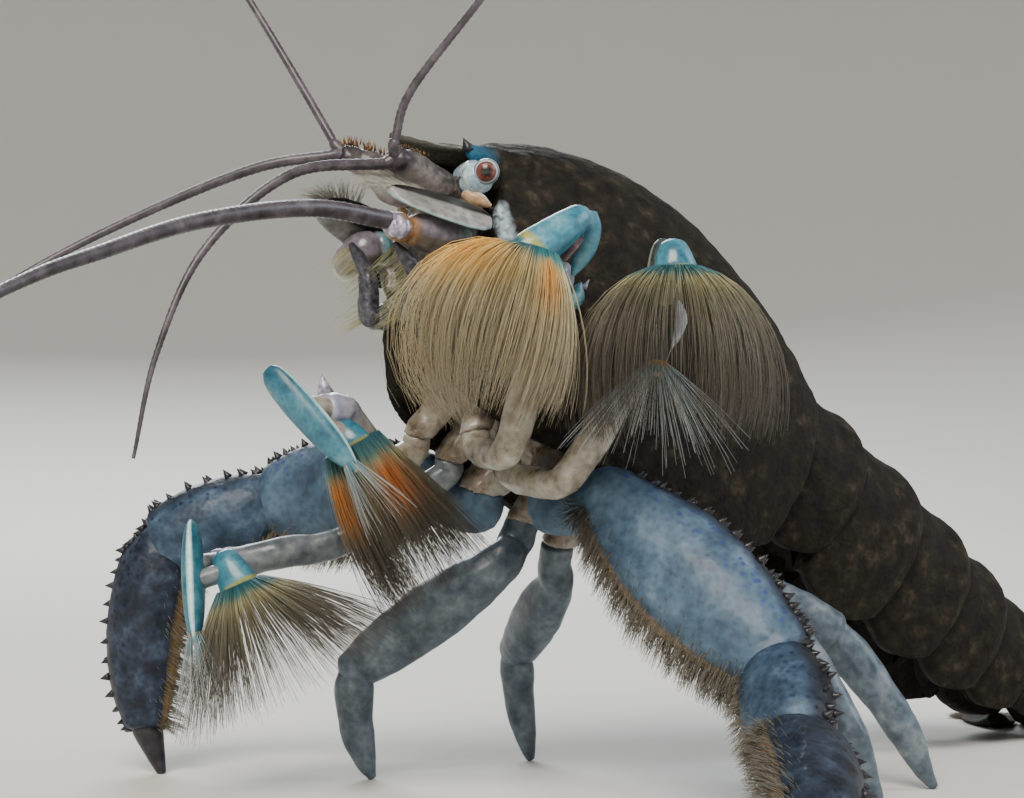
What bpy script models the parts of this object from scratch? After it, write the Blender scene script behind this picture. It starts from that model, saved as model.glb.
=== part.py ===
"""A life-size African fan shrimp (Atya gabonensis), standing with its four bristle fans open.

The shrimp faces -X, its left side is -Y and the floor is z = 0. Sizes are written in
millimetres, and each finished mesh is scaled to metres. The animal is divided where its own
joints are, and touching pieces keep a gap of GAP.
"""

import math
import random

import bmesh
import bpy
from mathutils import Matrix, Vector

TO_METRES = 0.001
GAP = 0.3
ROOT_DEPTH = 0.6
MARGIN = 0.05
LOCK_THICKNESS = 0.5
SHARP_EDGE = math.radians(45.0)
random.seed(7)

# The cephalothorax is pitched head up, and its place is set by the third legs' sternum.
PITCH = math.radians(32.0)
THIRD_LEG_S = 17.5
STERNUM_Z = 28.8
BACK = Vector((math.cos(PITCH), 0.0, -math.sin(PITCH)))
DORSAL = Vector((math.sin(PITCH), 0.0, math.cos(PITCH)))
UP = Vector((0.0, 0.0, 1.0))
LEFT, RIGHT = 1.0, -1.0

LEAN_FADE = 20.0
CEILING = 1.6
MARGIN_WALL = 1.4

for old in list(bpy.data.objects):
    bpy.data.objects.remove(old)


def body(s, w, h):
    """A point s behind the orbit, w to the animal's left and h above the sternum."""
    return Vector((0.0, -w, STERNUM_Z)) + BACK * (s - THIRD_LEG_S) + DORSAL * h


def across(side, point):
    """A point given for the left side, or its mirror image on the right."""
    return Vector((point[0], point[1] * side, point[2]))


def blend(stops, t):
    """The value at t of a smooth curve through (t, value) stops."""
    if t <= stops[0][0]:
        return stops[0][1]
    for (t0, a), (t1, b) in zip(stops, stops[1:]):
        if t <= t1:
            share = (t - t0) / (t1 - t0)
            share = share * share * (3.0 - 2.0 * share) * 0.5 + share * 0.5
            return a + (b - a) * share
    return stops[-1][1]


def smooth(points, count):
    """count points on a Catmull-Rom curve through the points."""
    points = [Vector(p) for p in points]
    ends = [points[0] * 2 - points[1], *points, points[-1] * 2 - points[-2]]
    made = []
    for k in range(count):
        place = k / (count - 1) * (len(points) - 1)
        i = min(int(place), len(points) - 2)
        t = place - i
        a, b, c, d = ends[i : i + 4]
        made.append(
            0.5
            * (
                2 * b
                + (c - a) * t
                + (2 * a - 5 * b + 4 * c - d) * t * t
                + (3 * b - a - 3 * c + d) * t**3
            )
        )
    return made


def squared(direction, along):
    """The part of a direction that is square to another, at length one."""
    return (direction - along * direction.dot(along)).normalized()


def mitre(a, b, c):
    """The normal of the cut at b, half way between the directions in and out."""
    return ((Vector(b) - Vector(a)).normalized() + (Vector(c) - Vector(b)).normalized()).normalized()


def mesh_object(name, points, faces):
    """A closed triangle mesh with its faces pointing out."""
    form = bmesh.new()
    corners = [form.verts.new(p) for p in points]
    form.faces.ensure_lookup_table()
    for face in faces:
        form.faces.new([corners[i] for i in face])
    wide = [f for f in form.faces if len(f.verts) > 3]
    bmesh.ops.triangulate(form, faces=wide, quad_method="BEAUTY", ngon_method="BEAUTY")
    bmesh.ops.recalc_face_normals(form, faces=form.faces)
    data = bpy.data.meshes.new(name)
    form.to_mesh(data)
    form.free()
    made = bpy.data.objects.new(name, data)
    bpy.context.scene.collection.objects.link(made)
    return made


def loft(rings, tip=None):
    """A closed skin over rings of equal count, with flat caps, or a point at the far end."""
    count = len(rings[0])
    points = [p for ring in rings for p in ring]
    faces = [tuple(range(count))]
    for k in range(len(rings) - 1):
        for i in range(count):
            j = (i + 1) % count
            faces.append((k * count + i, k * count + j, (k + 1) * count + j, (k + 1) * count + i))
    last = (len(rings) - 1) * count
    if tip is None:
        faces.append(tuple(last + i for i in reversed(range(count))))
    else:
        points.append(tip)
        faces += [(last + i, last + (i + 1) % count, len(points) - 1) for i in range(count)]
    return mesh_object("piece", points, faces)


def ellipse_ring(centre, axis, up, half_depth, half_width, sides, turn=0.0):
    """A ring of points square to the axis, its depth along up."""
    depth = (up - axis * up.dot(axis)).normalized()
    width = axis.cross(depth)
    angles = [2.0 * math.pi * (i + turn) / sides for i in range(sides)]
    return [
        centre + depth * half_depth * math.cos(a) + width * half_width * math.sin(a) for a in angles
    ]


def tangents_of(path):
    """The unit direction of a path at each of its points."""
    found = []
    for k in range(len(path)):
        before = path[max(k - 1, 0)]
        after = path[min(k + 1, len(path) - 1)]
        found.append((after - before).normalized())
    return found


def limb(path, sizes, up=UP, sides=10, start_cut=None, end_cut=None, pointed=False):
    """A rounded limb along a path, cut flat at a joint by a plane half a gap short of it.

    sizes holds (half depth, half width) at each point. A cut is the joint plane's normal,
    which points along the limb.
    """
    path = [Vector(p) for p in path]
    directions = tangents_of(path)
    rings = [
        ellipse_ring(p, d, up, depth, width, sides)
        for p, d, (depth, width) in zip(path, directions, sizes)
    ]
    for cut, near, sign in ((start_cut, 0, 1.0), (end_cut, len(path) - 1, -1.0)):
        if cut is None:
            continue
        plane = path[near] + cut * (GAP / 2 * sign)
        slide = directions[near]
        rings[near] = [p - slide * ((p - plane).dot(cut) / slide.dot(cut)) for p in rings[near]]
        beside = [near + 1, near + 2] if sign > 0 else [near - 1, near - 2]
        for ring in [rings[k] for k in beside if 0 <= k < len(rings)]:
            for i, p in enumerate(ring):
                beyond = (p - plane).dot(cut) * sign
                if beyond < MARGIN:
                    ring[i] = p + cut * ((MARGIN - beyond) * sign)
    if pointed:
        return loft(rings[:-1], tip=path[-1])
    return loft(rings)


def peg(start, end, radius, sides=8, end_radius=None):
    """A short round stub from start to end."""
    start, end = Vector(start), Vector(end)
    axis = (end - start).normalized()
    aside = UP if abs(axis.z) < 0.9 else Vector((1.0, 0.0, 0.0))
    far = radius if end_radius is None else end_radius
    return loft(
        [
            ellipse_ring(start, axis, aside, radius, radius, sides),
            ellipse_ring(end, axis, aside, far, far, sides),
        ]
    )


def spine(foot, direction, length, radius, sides=4):
    """A pointed spine whose root is sunk below its foot."""
    direction = direction.normalized()
    aside = UP if abs(direction.z) < 0.9 else Vector((1.0, 0.0, 0.0))
    root = Vector(foot) - direction * ROOT_DEPTH
    ring = ellipse_ring(root, direction, aside, radius * 1.2, radius * 1.2, sides)
    return loft([ring], tip=Vector(foot) + direction * length)


def lock(path, widths, normals, thickness=LOCK_THICKNESS):
    """A flat tapered lock of bristles: four-sided, and split alike on its two faces."""
    tangents = tangents_of(path)
    points = []
    for p, t, width, normal in zip(path[:-1], tangents, widths, normals):
        side = t.cross(normal).normalized()
        face = side.cross(t).normalized()
        half = thickness / 2
        points += [p - side * width, p + face * half, p + side * width, p - face * half]
    faces = [(0, 1, 2), (0, 2, 3)]
    for k in range(len(path) - 2):
        a, b = 4 * k, 4 * k + 4
        left, top, right, low = range(a, a + 4)
        left_on, top_on, right_on, low_on = range(b, b + 4)
        faces += [(left, top, top_on), (left, top_on, left_on)]
        faces += [(top, right, top_on), (right, right_on, top_on)]
        faces += [(right, low, low_on), (right, low_on, right_on)]
        faces += [(low, left, low_on), (left, left_on, low_on)]
    tip = len(points)
    points.append(path[-1])
    end = tip - 4
    faces += [(end + i, end + (i + 1) % 4, tip) for i in range(4)]
    return mesh_object("lock", points, faces)


def closed(data):
    """Whether each edge of a mesh joins exactly two faces."""
    form = bmesh.new()
    form.from_mesh(data)
    whole = all(len(e.link_faces) == 2 for e in form.edges) and len(form.faces) > 0
    form.free()
    return whole


def joined_by(solver, base, pieces):
    """The mesh of base and the pieces after one Boolean union."""
    helpers = bpy.data.collections.new("helpers")
    bpy.context.scene.collection.children.link(helpers)
    for piece in pieces:
        helpers.objects.link(piece)
    change = base.modifiers.new("union", "BOOLEAN")
    change.operation = "UNION"
    change.operand_type = "COLLECTION"
    change.collection = helpers
    change.solver = solver
    graph = bpy.context.evaluated_depsgraph_get()
    graph.update()
    data = bpy.data.meshes.new_from_object(base.evaluated_get(graph))
    base.modifiers.remove(change)
    bpy.data.collections.remove(helpers)
    return data


def largest_body(data):
    """Keeps only the largest closed surface of a mesh, with touching points made one."""
    form = bmesh.new()
    form.from_mesh(data)
    bmesh.ops.remove_doubles(form, verts=form.verts, dist=0.002)
    bmesh.ops.dissolve_degenerate(form, edges=form.edges, dist=0.001)
    bmesh.ops.triangulate(form, faces=form.faces)
    left = set(form.faces)
    bodies = []
    while left:
        found, edge = set(), [left.pop()]
        while edge:
            face = edge.pop()
            found.add(face)
            for side in face.edges:
                for other in side.link_faces:
                    if other in left:
                        left.discard(other)
                        edge.append(other)
        bodies.append(found)

    def volume(faces):
        return sum(
            f.verts[0].co.dot(f.verts[1].co.cross(f.verts[2].co)) / 6.0 for f in faces
        )

    kept = max(bodies, key=volume)
    loose = [f for f in form.faces if f not in kept]
    bmesh.ops.delete(form, geom=loose, context="FACES")
    form.to_mesh(data)
    form.free()


def node(name, pieces, material):
    """One named piece of the animal: its pieces joined to one closed body and coloured."""
    base, others = pieces[0], pieces[1:]
    if others:
        data = joined_by("EXACT", base, others)
        largest_body(data)
        if not closed(data):
            data = joined_by("MANIFOLD", base, others)
            largest_body(data)
            print(name, "was joined by MANIFOLD, closed:", closed(data))
    else:
        data = base.data.copy()
    for piece in pieces:
        bpy.data.objects.remove(piece)
    made = bpy.data.objects.new(name, data)
    bpy.context.scene.collection.objects.link(made)
    data.name = name
    data.materials.clear()
    data.materials.append(material)
    data.shade_smooth()
    data.set_sharp_from_angle(angle=SHARP_EDGE)
    return made


def finish(name, colour, roughness):
    """A Principled material of one colour."""
    made = bpy.data.materials.new(name)
    made.use_nodes = True
    shader = made.node_tree.nodes["Principled BSDF"]
    shader.inputs["Base Color"].default_value = (*colour, 1.0)
    shader.inputs["Roughness"].default_value = roughness
    made.diffuse_color = (*colour, 1.0)
    return made


BROWN_SHELL = finish("brown_shell", (0.10, 0.07, 0.055), 0.45)
BLUE_SHELL = finish("blue_shell", (0.10, 0.17, 0.28), 0.4)
TURQUOISE_HAND = finish("turquoise_hand", (0.06, 0.30, 0.42), 0.3)
PALE_LIMB = finish("pale_limb", (0.42, 0.42, 0.38), 0.4)
BRISTLE = finish("bristle", (0.40, 0.27, 0.12), 0.6)
DARK_FEELER = finish("dark_feeler", (0.07, 0.06, 0.07), 0.45)
EYE = finish("eye", (0.25, 0.05, 0.04), 0.15)

# Cephalothorax: its top, half width and lower margin along its length.
TOP = [(0, 17.7), (4.4, 20.6), (11, 23.4), (17, 24.5), (25, 24.2), (32, 22.8), (38, 20.6)]
HALF_WIDTH = [(0, 6.6), (4, 8.0), (10, 10.2), (20, 11.8), (32, 11.2), (38, 10.4)]
LOW = [(0, 0.5), (3, -2.2), (8, -3.2), (16, -2.6), (28, -1.8), (34, -0.4), (38, 2.5)]
WIDEST_H = 9.0
# How much narrower the lower margin is than the widest part, along the length.
TAPER = [(0, 0.36), (6, 0.3), (14, 0.2), (24, 0.14), (38, 0.12)]
# The front margin slants: it lies this far back for each mm below the orbit's top.
ORBIT_H = 17.7
FRONT_SLANT = 0.17
CARAPACE_STATIONS = (0.0, 2.0, 5.0, 9.0, 14.0, 19.0, 24.5, 30.0, 34.5, 38.0)
# The rostrum's and the keel's points, each with its (half depth, half width).
ROSTRUM = (
    ((2.0, 0.0, 50.8), (1.0, 4.2)),
    ((-3.5, 0.0, 51.6), (1.0, 4.4)),
    ((-8.6, 0.0, 52.1), (0.7, 2.5)),
    ((-14.1, 0.0, 52.9), (0.0, 0.0)),
)
KEEL = (
    ((4.0, 0.0, 52.2), (0.5, 0.7)),
    ((-2.0, 0.0, 52.7), (0.55, 0.7)),
    ((-7.5, 0.0, 52.7), (0.4, 0.5)),
    ((-11.5, 0.0, 52.8), (0.0, 0.0)),
)
SIDE_TOOTH = Vector((-7.5, 3.5, 51.5))
SIDE_TOOTH_AIM = Vector((-0.75, 0.03, 0.66))
SIDE_TOOTH_LENGTH = 2.8
SIDE_TOOTH_RADIUS = 0.75
# The small spine low on each side of the shell's front margin: place (s, w, h) and length.
CHEEK_SPINE = (1.6, 8.0, 6.2)
CHEEK_SPINE_LENGTH = 1.5
CHEEK_SPINE_RADIUS = 0.5
DORSAL_STEPS = 6
SIDE_STEPS = 4


def lean(s, h):
    """How far a point moves back for the slanting front margin, fading to the rear."""
    return FRONT_SLANT * (ORBIT_H - h) * max(0.0, 1.0 - s / LEAN_FADE)


def shell_half(top, half_width, low, widest, taper):
    """(w, h) from the top midline down one side to the lower margin."""
    found = []
    for i in range(1, DORSAL_STEPS + 1):
        a = math.pi / 2 * i / DORSAL_STEPS
        found.append((half_width * math.sin(a), widest + (top - widest) * math.cos(a)))
    for i in range(1, SIDE_STEPS + 1):
        f = i / SIDE_STEPS
        found.append((half_width * (1.0 - taper * f * f), widest - (widest - low) * f))
    return found


def shell_outline(top, half_width, low, widest, ceiling, taper, wall):
    """A closed (w, h) outline: an arched back, two side flaps and a ceiling between them."""
    side = shell_half(top, half_width, low, widest, taper)
    edge_w, edge_h = side[-1]
    inside = [(edge_w - wall, edge_h + 0.2), (edge_w - wall - 0.6, max(ceiling, edge_h + 0.5))]
    half = side + inside
    return [(0.0, top), *half, *[(-w, h) for w, h in reversed(half)]]


def carapace():
    """The rounded shell of head and thorax, with a short three-toothed rostrum."""
    rings = []
    for s in CARAPACE_STATIONS:
        outline = shell_outline(
            blend(TOP, s), blend(HALF_WIDTH, s), blend(LOW, s), WIDEST_H, CEILING, blend(TAPER, s),
            MARGIN_WALL,
        )
        rings.append([body(s + lean(s, h), w, h) for w, h in outline])
    pieces = [loft(rings)]
    pieces.append(limb([p for p, _ in ROSTRUM], [r for _, r in ROSTRUM], sides=8, pointed=True))
    pieces.append(limb([p for p, _ in KEEL], [r for _, r in KEEL], sides=6, pointed=True))
    for side in (LEFT, RIGHT):
        foot, aim = across(side, SIDE_TOOTH), across(side, SIDE_TOOTH_AIM)
        pieces.append(spine(foot, aim, SIDE_TOOTH_LENGTH, SIDE_TOOTH_RADIUS, sides=5))
        s, w, h = CHEEK_SPINE
        aim = across(side, -BACK + Vector((0.0, -0.3, 0.0)))
        pieces.append(spine(body(s, w * side, h), aim, CHEEK_SPINE_LENGTH, CHEEK_SPINE_RADIUS))
    return node("carapace", pieces, BROWN_SHELL)


# Where each feeler leaves the head, for the left side, and the way it faces.
EYE_ROOT = Vector((-8.4, -2.0, 49.9))
EYE_JOINT = Vector((-8.9, -3.9, 50.1))
EYE_CENTRE = Vector((-9.0, -5.7, 50.1))
EYE_RADIUS = 1.25
ANTENNULE_JOINT = Vector((-11.3, -2.3, 48.9))
ANTENNA_JOINT = Vector((-11.4, -5.2, 44.6))
MAXILLIPED_JOINT = Vector((-13.3, -2.3, 38.6))
MAXILLIPED_OUT = Vector((-0.8, -0.2, -0.56))
FORWARD = Vector((-1.0, 0.0, 0.0))
HEAD_BACK_S = -0.3
HEAD_RINGS = (
    (HEAD_BACK_S, 5.1, 0.8, 15.4),
    (-1.3, 4.5, 1.6, 14.4),
    (-2.4, 3.2, 3.2, 12.4),
    (-3.2, 2.0, 5.4, 10.6),
)
HEAD_SIDES = 12
HEAD_OVERLAP = 0.25
# Sockets on the left side: where each starts (y, z), its joint and its radius.
EYE_SOCKET = (-1.6, 49.4, EYE_JOINT, 1.0)
ANTENNULE_SOCKET = (-2.2, 48.2, ANTENNULE_JOINT, 1.3)
ANTENNA_SOCKET = (-4.0, 44.6, ANTENNA_JOINT, 1.6)
MAXILLIPED_SOCKET = (-1.8, 39.4, MAXILLIPED_JOINT, 1.1)
JAW = (
    ((-11.2, -1.7, 42.2), (1.4, 1.4)),
    ((-12.6, -2.0, 41.6), (1.4, 1.2)),
    ((-13.4, -1.3, 40.4), (0.7, 0.6)),
)


def head_back(z):
    """Where the flat back of the head lies along X at height z."""
    low = body(HEAD_BACK_S + lean(0.0, 0.0), 0.0, 0.0)
    high = body(HEAD_BACK_S + lean(0.0, ORBIT_H), 0.0, ORBIT_H)
    return low.lerp(high, (z - low.z) / (high.z - low.z)).x


def head_peg(side, socket, out):
    """A socket that grows from inside the head to half a gap short of a joint."""
    y, z, joint, radius = socket
    start = Vector((head_back(z - radius) - HEAD_OVERLAP, y * side, z))
    end = across(side, joint) - out * GAP / 2
    way = (end - start).normalized()
    rings = [ellipse_ring(p, axis, UP, radius, radius, 7) for p, axis in ((start, way), (end, out))]
    return loft(rings)


def head():
    """The face under the rostrum: eye sockets, feeler bases and the mouth with its jaws."""
    rings = []
    for s, half_width, low, high in HEAD_RINGS:
        middle, half = (low + high) / 2, (high - low) / 2
        ring = []
        for i in range(HEAD_SIDES):
            a = 2.0 * math.pi * i / HEAD_SIDES
            h = middle + half * math.cos(a)
            ring.append(body(s + lean(0.0, h), half_width * math.sin(a), h))
        rings.append(ring)
    pieces = [loft(rings)]
    for side in (LEFT, RIGHT):
        pieces.append(head_peg(side, EYE_SOCKET, across(side, EYE_JOINT - EYE_ROOT).normalized()))
        pieces.append(head_peg(side, ANTENNULE_SOCKET, FORWARD))
        pieces.append(head_peg(side, ANTENNA_SOCKET, FORWARD))
        pieces.append(head_peg(side, MAXILLIPED_SOCKET, across(side, MAXILLIPED_OUT)))
        pieces.append(limb([across(side, p) for p, _ in JAW], [r for _, r in JAW], sides=6))
    return node("head", pieces, PALE_LIMB)


# Coxae: place along the sternum, half spacing, radius, and how far they hang.
COXA_H = -4.4
COXAE = {
    "cheliped_1": (10.0, 4.0, 1.5),
    "cheliped_2": (13.7, 4.0, 1.5),
    "leg_3": (18.4, 4.6, 2.3),
    "leg_4": (23.3, 4.2, 1.8),
    "leg_5": (27.4, 3.9, 1.7),
}
COXA_OUT = Vector((0.0, -0.35, -0.94)).normalized()
# How far inside its joint each coxa is rooted, and how high in the sternum.
COXA_ROOT_IN = 1.4
COXA_ROOT_H = -0.4
# The sternum's place along the body and half width, and its outline (share of width, h).
STERNUM = ((7.0, 3.2), (10.0, 4.2), (14.0, 5.0), (20.0, 5.6), (27.0, 5.2), (33.0, 4.2))
STERNUM_HALF = ((0.75, 1.2), (1.0, 0.3), (0.8, -1.2))
STERNUM_TOP, STERNUM_BOTTOM = 1.2, -1.5


def coxa_point(limb_name, side):
    """The joint where a limb leaves its coxa, and the direction in which it leaves."""
    s, w, _ = COXAE[limb_name]
    return body(s, w * side, COXA_H), Vector((COXA_OUT.x, COXA_OUT.y * side, COXA_OUT.z))


def sternum():
    """The plate between the legs, with the ten leg sockets."""
    rings = []
    for s, half_width in STERNUM:
        half = [(share * half_width, h) for share, h in STERNUM_HALF]
        other = [(-w, h) for w, h in reversed(half)]
        outline = [(0.0, STERNUM_TOP), *half, (0.0, STERNUM_BOTTOM), *other]
        rings.append([body(s, w, h) for w, h in outline])
    pieces = [loft(rings)]
    for name, (s, w, radius) in COXAE.items():
        for side in (LEFT, RIGHT):
            joint, out = coxa_point(name, side)
            root = body(s, (w - COXA_ROOT_IN) * side, COXA_ROOT_H)
            way = (joint - root).normalized()
            far = joint - out * GAP / 2
            base = ellipse_ring(root, way, BACK, radius * 0.95, radius * 0.95, 8)
            rim = ellipse_ring(far, out, BACK, radius, radius, 8)
            pieces.append(loft([base, rim]))
    return node("sternum", pieces, PALE_LIMB)


# Abdomen: slope below the horizontal, length, half width, height above and below the axis.
SOMITES = (
    (32.0, 7.0, 9.7, 9.4, 6.5),
    (31.5, 9.0, 9.9, 9.3, 8.6),
    (31.0, 8.6, 9.5, 8.9, 7.6),
    (29.5, 7.4, 8.8, 8.2, 6.8),
    (26.0, 6.8, 7.8, 7.3, 5.6),
    (21.0, 9.2, 6.4, 5.9, 4.0),
)
ABDOMEN_START = (38.0, 10.6)
SWIMMERETS = (6.4, 6.2, 5.2, 4.2, 3.2)
# Rings of a somite: share of its length, and of its outline there.
SOMITE_RINGS = ((0.0, 0.93), (0.12, 0.955), (0.55, 0.985), (0.9, 1.03), (1.0, 1.0))
FLAP_WALL = 1.3
SWIMMERET_AT = 0.42
SWIMMERET_APART = 2.6
SWIMMERET_SIZES = ((0.5, 0.9), (0.45, 1.3), (0.4, 1.2), (0.0, 0.0))


def slope_axes(degrees):
    """Backward and upward directions at a slope below the horizontal."""
    a = math.radians(degrees)
    return Vector((math.cos(a), 0.0, -math.sin(a))), Vector((math.sin(a), 0.0, math.cos(a)))


def somite_outline(half_width, high, low, scale):
    """(w, h) round one abdominal ring, its side flaps hanging below its belly."""
    return shell_outline(
        high * scale, half_width * scale, -low, widest=0.5, ceiling=-low * 0.35, taper=0.2,
        wall=FLAP_WALL,
    )


def abdomen_joints():
    """The axis points between somites and the normal of each joint plane."""
    start = body(ABDOMEN_START[0], 0.0, ABDOMEN_START[1])
    points = [start]
    for slope, length, *_ in SOMITES:
        points.append(points[-1] + slope_axes(slope)[0] * length)
    slopes = [math.degrees(PITCH), *[s[0] for s in SOMITES], 18.0]
    normals = [slope_axes((a + b) / 2)[0] for a, b in zip(slopes, slopes[1:])]
    return points, normals


def abdomen():
    """Six overlapping somites, the first five with a pair of swimmerets under them."""
    points, normals = abdomen_joints()
    nodes = []
    for k, (slope, length, half_width, high, low) in enumerate(SOMITES):
        back, up = slope_axes(slope)
        after = SOMITES[min(k + 1, len(SOMITES) - 1)]
        rings = []
        for t, scale in SOMITE_RINGS:
            wide = half_width + (after[2] - half_width) * t * 0.6
            tall = high + (after[3] - high) * t * 0.6
            deep = low * (0.72 + 0.28 * math.sin(math.pi * min(1.0, t * 0.9 + 0.1)))
            centre = points[k] + back * (length * t)
            rings.append(
                [
                    centre + Vector((0.0, -w, 0.0)) + up * h
                    for w, h in somite_outline(wide, tall, deep, scale)
                ]
            )
        cut_ring(rings[0], back, normals[k], points[k] + normals[k] * (GAP / 2))
        cut_ring(rings[-1], back, normals[k + 1], points[k + 1] - normals[k + 1] * (GAP / 2))
        pieces = [loft(rings)]
        if k < len(SWIMMERETS):
            root = points[k] + back * (length * SWIMMERET_AT)
            pieces += [swimmeret(root, back, up, side, SWIMMERETS[k], low) for side in (LEFT, RIGHT)]
        nodes.append(node(f"abdomen_{k + 1}", pieces, BROWN_SHELL))
    return nodes


def cut_ring(ring, along, cut, place):
    """Slides a ring's points along the body onto the plane through place."""
    for i, p in enumerate(ring):
        ring[i] = p - along * ((p - place).dot(cut) / along.dot(cut))


def swimmeret(place, back, up, side, length, low):
    """A leaf-shaped paddle that hangs from the belly and trails backward."""
    foot = place - up * (low * 0.15) + Vector((0.0, -SWIMMERET_APART * side, 0.0))
    trail = (back * 0.42 - up).normalized()
    reach = low * 0.2 + length
    path = [foot + trail * (reach * t) for t in (0.0, 0.35, 0.7, 1.0)]
    return limb(path, SWIMMERET_SIZES, up=back, sides=6, pointed=True)


TELSON_SLOPE = 22.0
TELSON_LENGTH = 12.5
TELSON_RISE = 1.2
# Share of the telson's length, and its (half depth, half width) there.
TELSON = (
    (0.0, (2.4, 2.7)), (0.15, (2.2, 3.0)), (0.55, (1.4, 2.3)), (0.9, (0.8, 1.5)), (1.0, (0.5, 0.9)),
)
# Share of a tail blade's length, of its half width, and its half thickness.
TAIL_BLADE = (
    (0.0, 0.35, 0.6), (0.22, 0.7, 0.5), (0.5, 1.0, 0.4),
    (0.78, 0.96, 0.35), (0.94, 0.62, 0.3), (1.0, 0.3, 0.27),
)
TAIL_BLADE_SINK = 0.6
# A blade's axis lies no lower than this share of its half thickness above the floor.
BLADE_REST = 0.8
UROPOD_BEHIND = 0.45
# Spread in degrees, length, half width, root's place aside and below the axis, and drop.
UROPODS = {
    "outer": (46.0, 13.0, 2.7, 4.0, -3.1, 3.2),
    "inner": (15.0, 12.8, 2.1, 2.5, -1.6, 4.7),
}


def settle(data):
    """Flattens what would dip below the floor onto it, as a small flat."""
    for corner in data.vertices:
        corner.co.z = max(corner.co.z, 0.0)


def tail_blade(root, direction, length, half_width):
    """A flat tail blade, narrow at its root, whose far end dips to the floor."""
    direction = direction.normalized()
    flat = UP - direction * UP.dot(direction)
    path, sizes = [], []
    for t, wide, thick in TAIL_BLADE:
        place = root + direction * (length * t) - UP * (TAIL_BLADE_SINK * t * t)
        place.z = max(place.z, thick * BLADE_REST)
        path.append(place)
        sizes.append((thick, half_width * wide))
    return limb(path, sizes, up=flat, sides=10)


def tail_fan():
    """The telson and the four uropods, spread flat with their ends on the floor."""
    points, normals = abdomen_joints()
    back, up = slope_axes(TELSON_SLOPE)
    end = points[-1]
    path = [end + up * TELSON_RISE + back * (TELSON_LENGTH * t) for t, _ in TELSON]
    telson = limb(path, [size for _, size in TELSON], up=up, sides=10, start_cut=normals[-1])
    made = [node("telson", [telson], BROWN_SHELL)]
    for name, (spread, length, half_width, aside, low, drop) in UROPODS.items():
        for side, word in ((LEFT, "left"), (RIGHT, "right")):
            a = math.radians(spread)
            flat_back = Vector((math.cos(a), -math.sin(a) * side, 0.0))
            aim = (flat_back * length - UP * drop).normalized()
            root = end + normals[-1] * UROPOD_BEHIND + up * low - Vector((0.0, aside * side, 0.0))
            blade = tail_blade(root, aim, length, half_width)
            made.append(node(f"uropod_{word}_{name}", [blade], BLUE_SHELL))
    for piece in made:
        settle(piece.data)
    return made


def eyes():
    """Short stalks that carry a round eye out to each side."""
    for side, word in ((LEFT, "left"), (RIGHT, "right")):
        joint, centre = across(side, EYE_JOINT), across(side, EYE_CENTRE)
        out = (joint - across(side, EYE_ROOT)).normalized()
        gaze = (centre - joint).normalized()
        path = [joint, joint + out * 0.6, *[centre + gaze * step for step in (-0.7, 0.0, 0.75, 1.15)]]
        radii = (1.0, 1.12, 1.2, EYE_RADIUS, 1.0, 0.45)
        ball = limb(path, [(r, r) for r in radii], sides=10, start_cut=out)
        node(f"eye_{word}", [ball], EYE)


# Antennules: the three-jointed stem and its two whips on each side.
ANTENNULE_TIPS = {"left": Vector((-16.4, -3.9, 50.4)), "right": Vector((-15.8, 4.1, 51.6))}
ANTENNULE_WHIPS = {
    "left_outer": (
        (-17.0, -4.5, 51.4), (-16.0, -5.4, 55.6), (-12.6, -10.0, 62.5),
        (-8.0, -15.5, 71.5), (-2.5, -20.5, 79.0),
    ),
    "left_inner": (
        (-17.2, -3.6, 50.0), (-24.9, -2.1, 48.6), (-31.5, -0.6, 42.5),
        (-35.2, -0.2, 34.6), (-36.8, 0.2, 27.0),
    ),
    "right_outer": (
        (-16.4, 4.6, 52.5), (-17.6, 8.4, 58.2), (-19.4, 12.9, 65.2),
        (-22.0, 18.5, 74.0), (-23.0, 24.0, 82.0),
    ),
    "right_inner": (
        (-16.8, 4.0, 51.6), (-22.6, 7.3, 50.3), (-32.7, 10.3, 45.4),
        (-41.2, 13.2, 40.2), (-50.5, 16.5, 33.0),
    ),
}
ANTENNULE_SIZES = ((1.25, 1.25), (1.4, 1.45), (1.25, 1.3), (1.1, 1.15), (0.95, 1.1))
PRONG_RADII = (0.62, 0.5)
CREST_COUNT = 5
CREST_SPINE = (0.9, 0.3)
SHOULDER_SPINE = (1.5, 0.4)
THIN_WHIP = (0.34, 0.14)
STRONG_WHIP = (0.58, 0.14)
STRONG_WHIP_RINGS = 16
WHIP_RINGS = 12
WHIP_SIDES = 5


def whip(points, radii, cut, rings=WHIP_RINGS):
    """A long feeler along a smooth route, tapered between two radii."""
    thick, thin = radii
    path = smooth(points, rings)
    tapered = [thick + (thin - thick) * (k / (rings - 1)) ** 1.3 for k in range(rings)]
    return limb(path, [(r, r) for r in tapered], sides=WHIP_SIDES, start_cut=cut, pointed=True)


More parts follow.
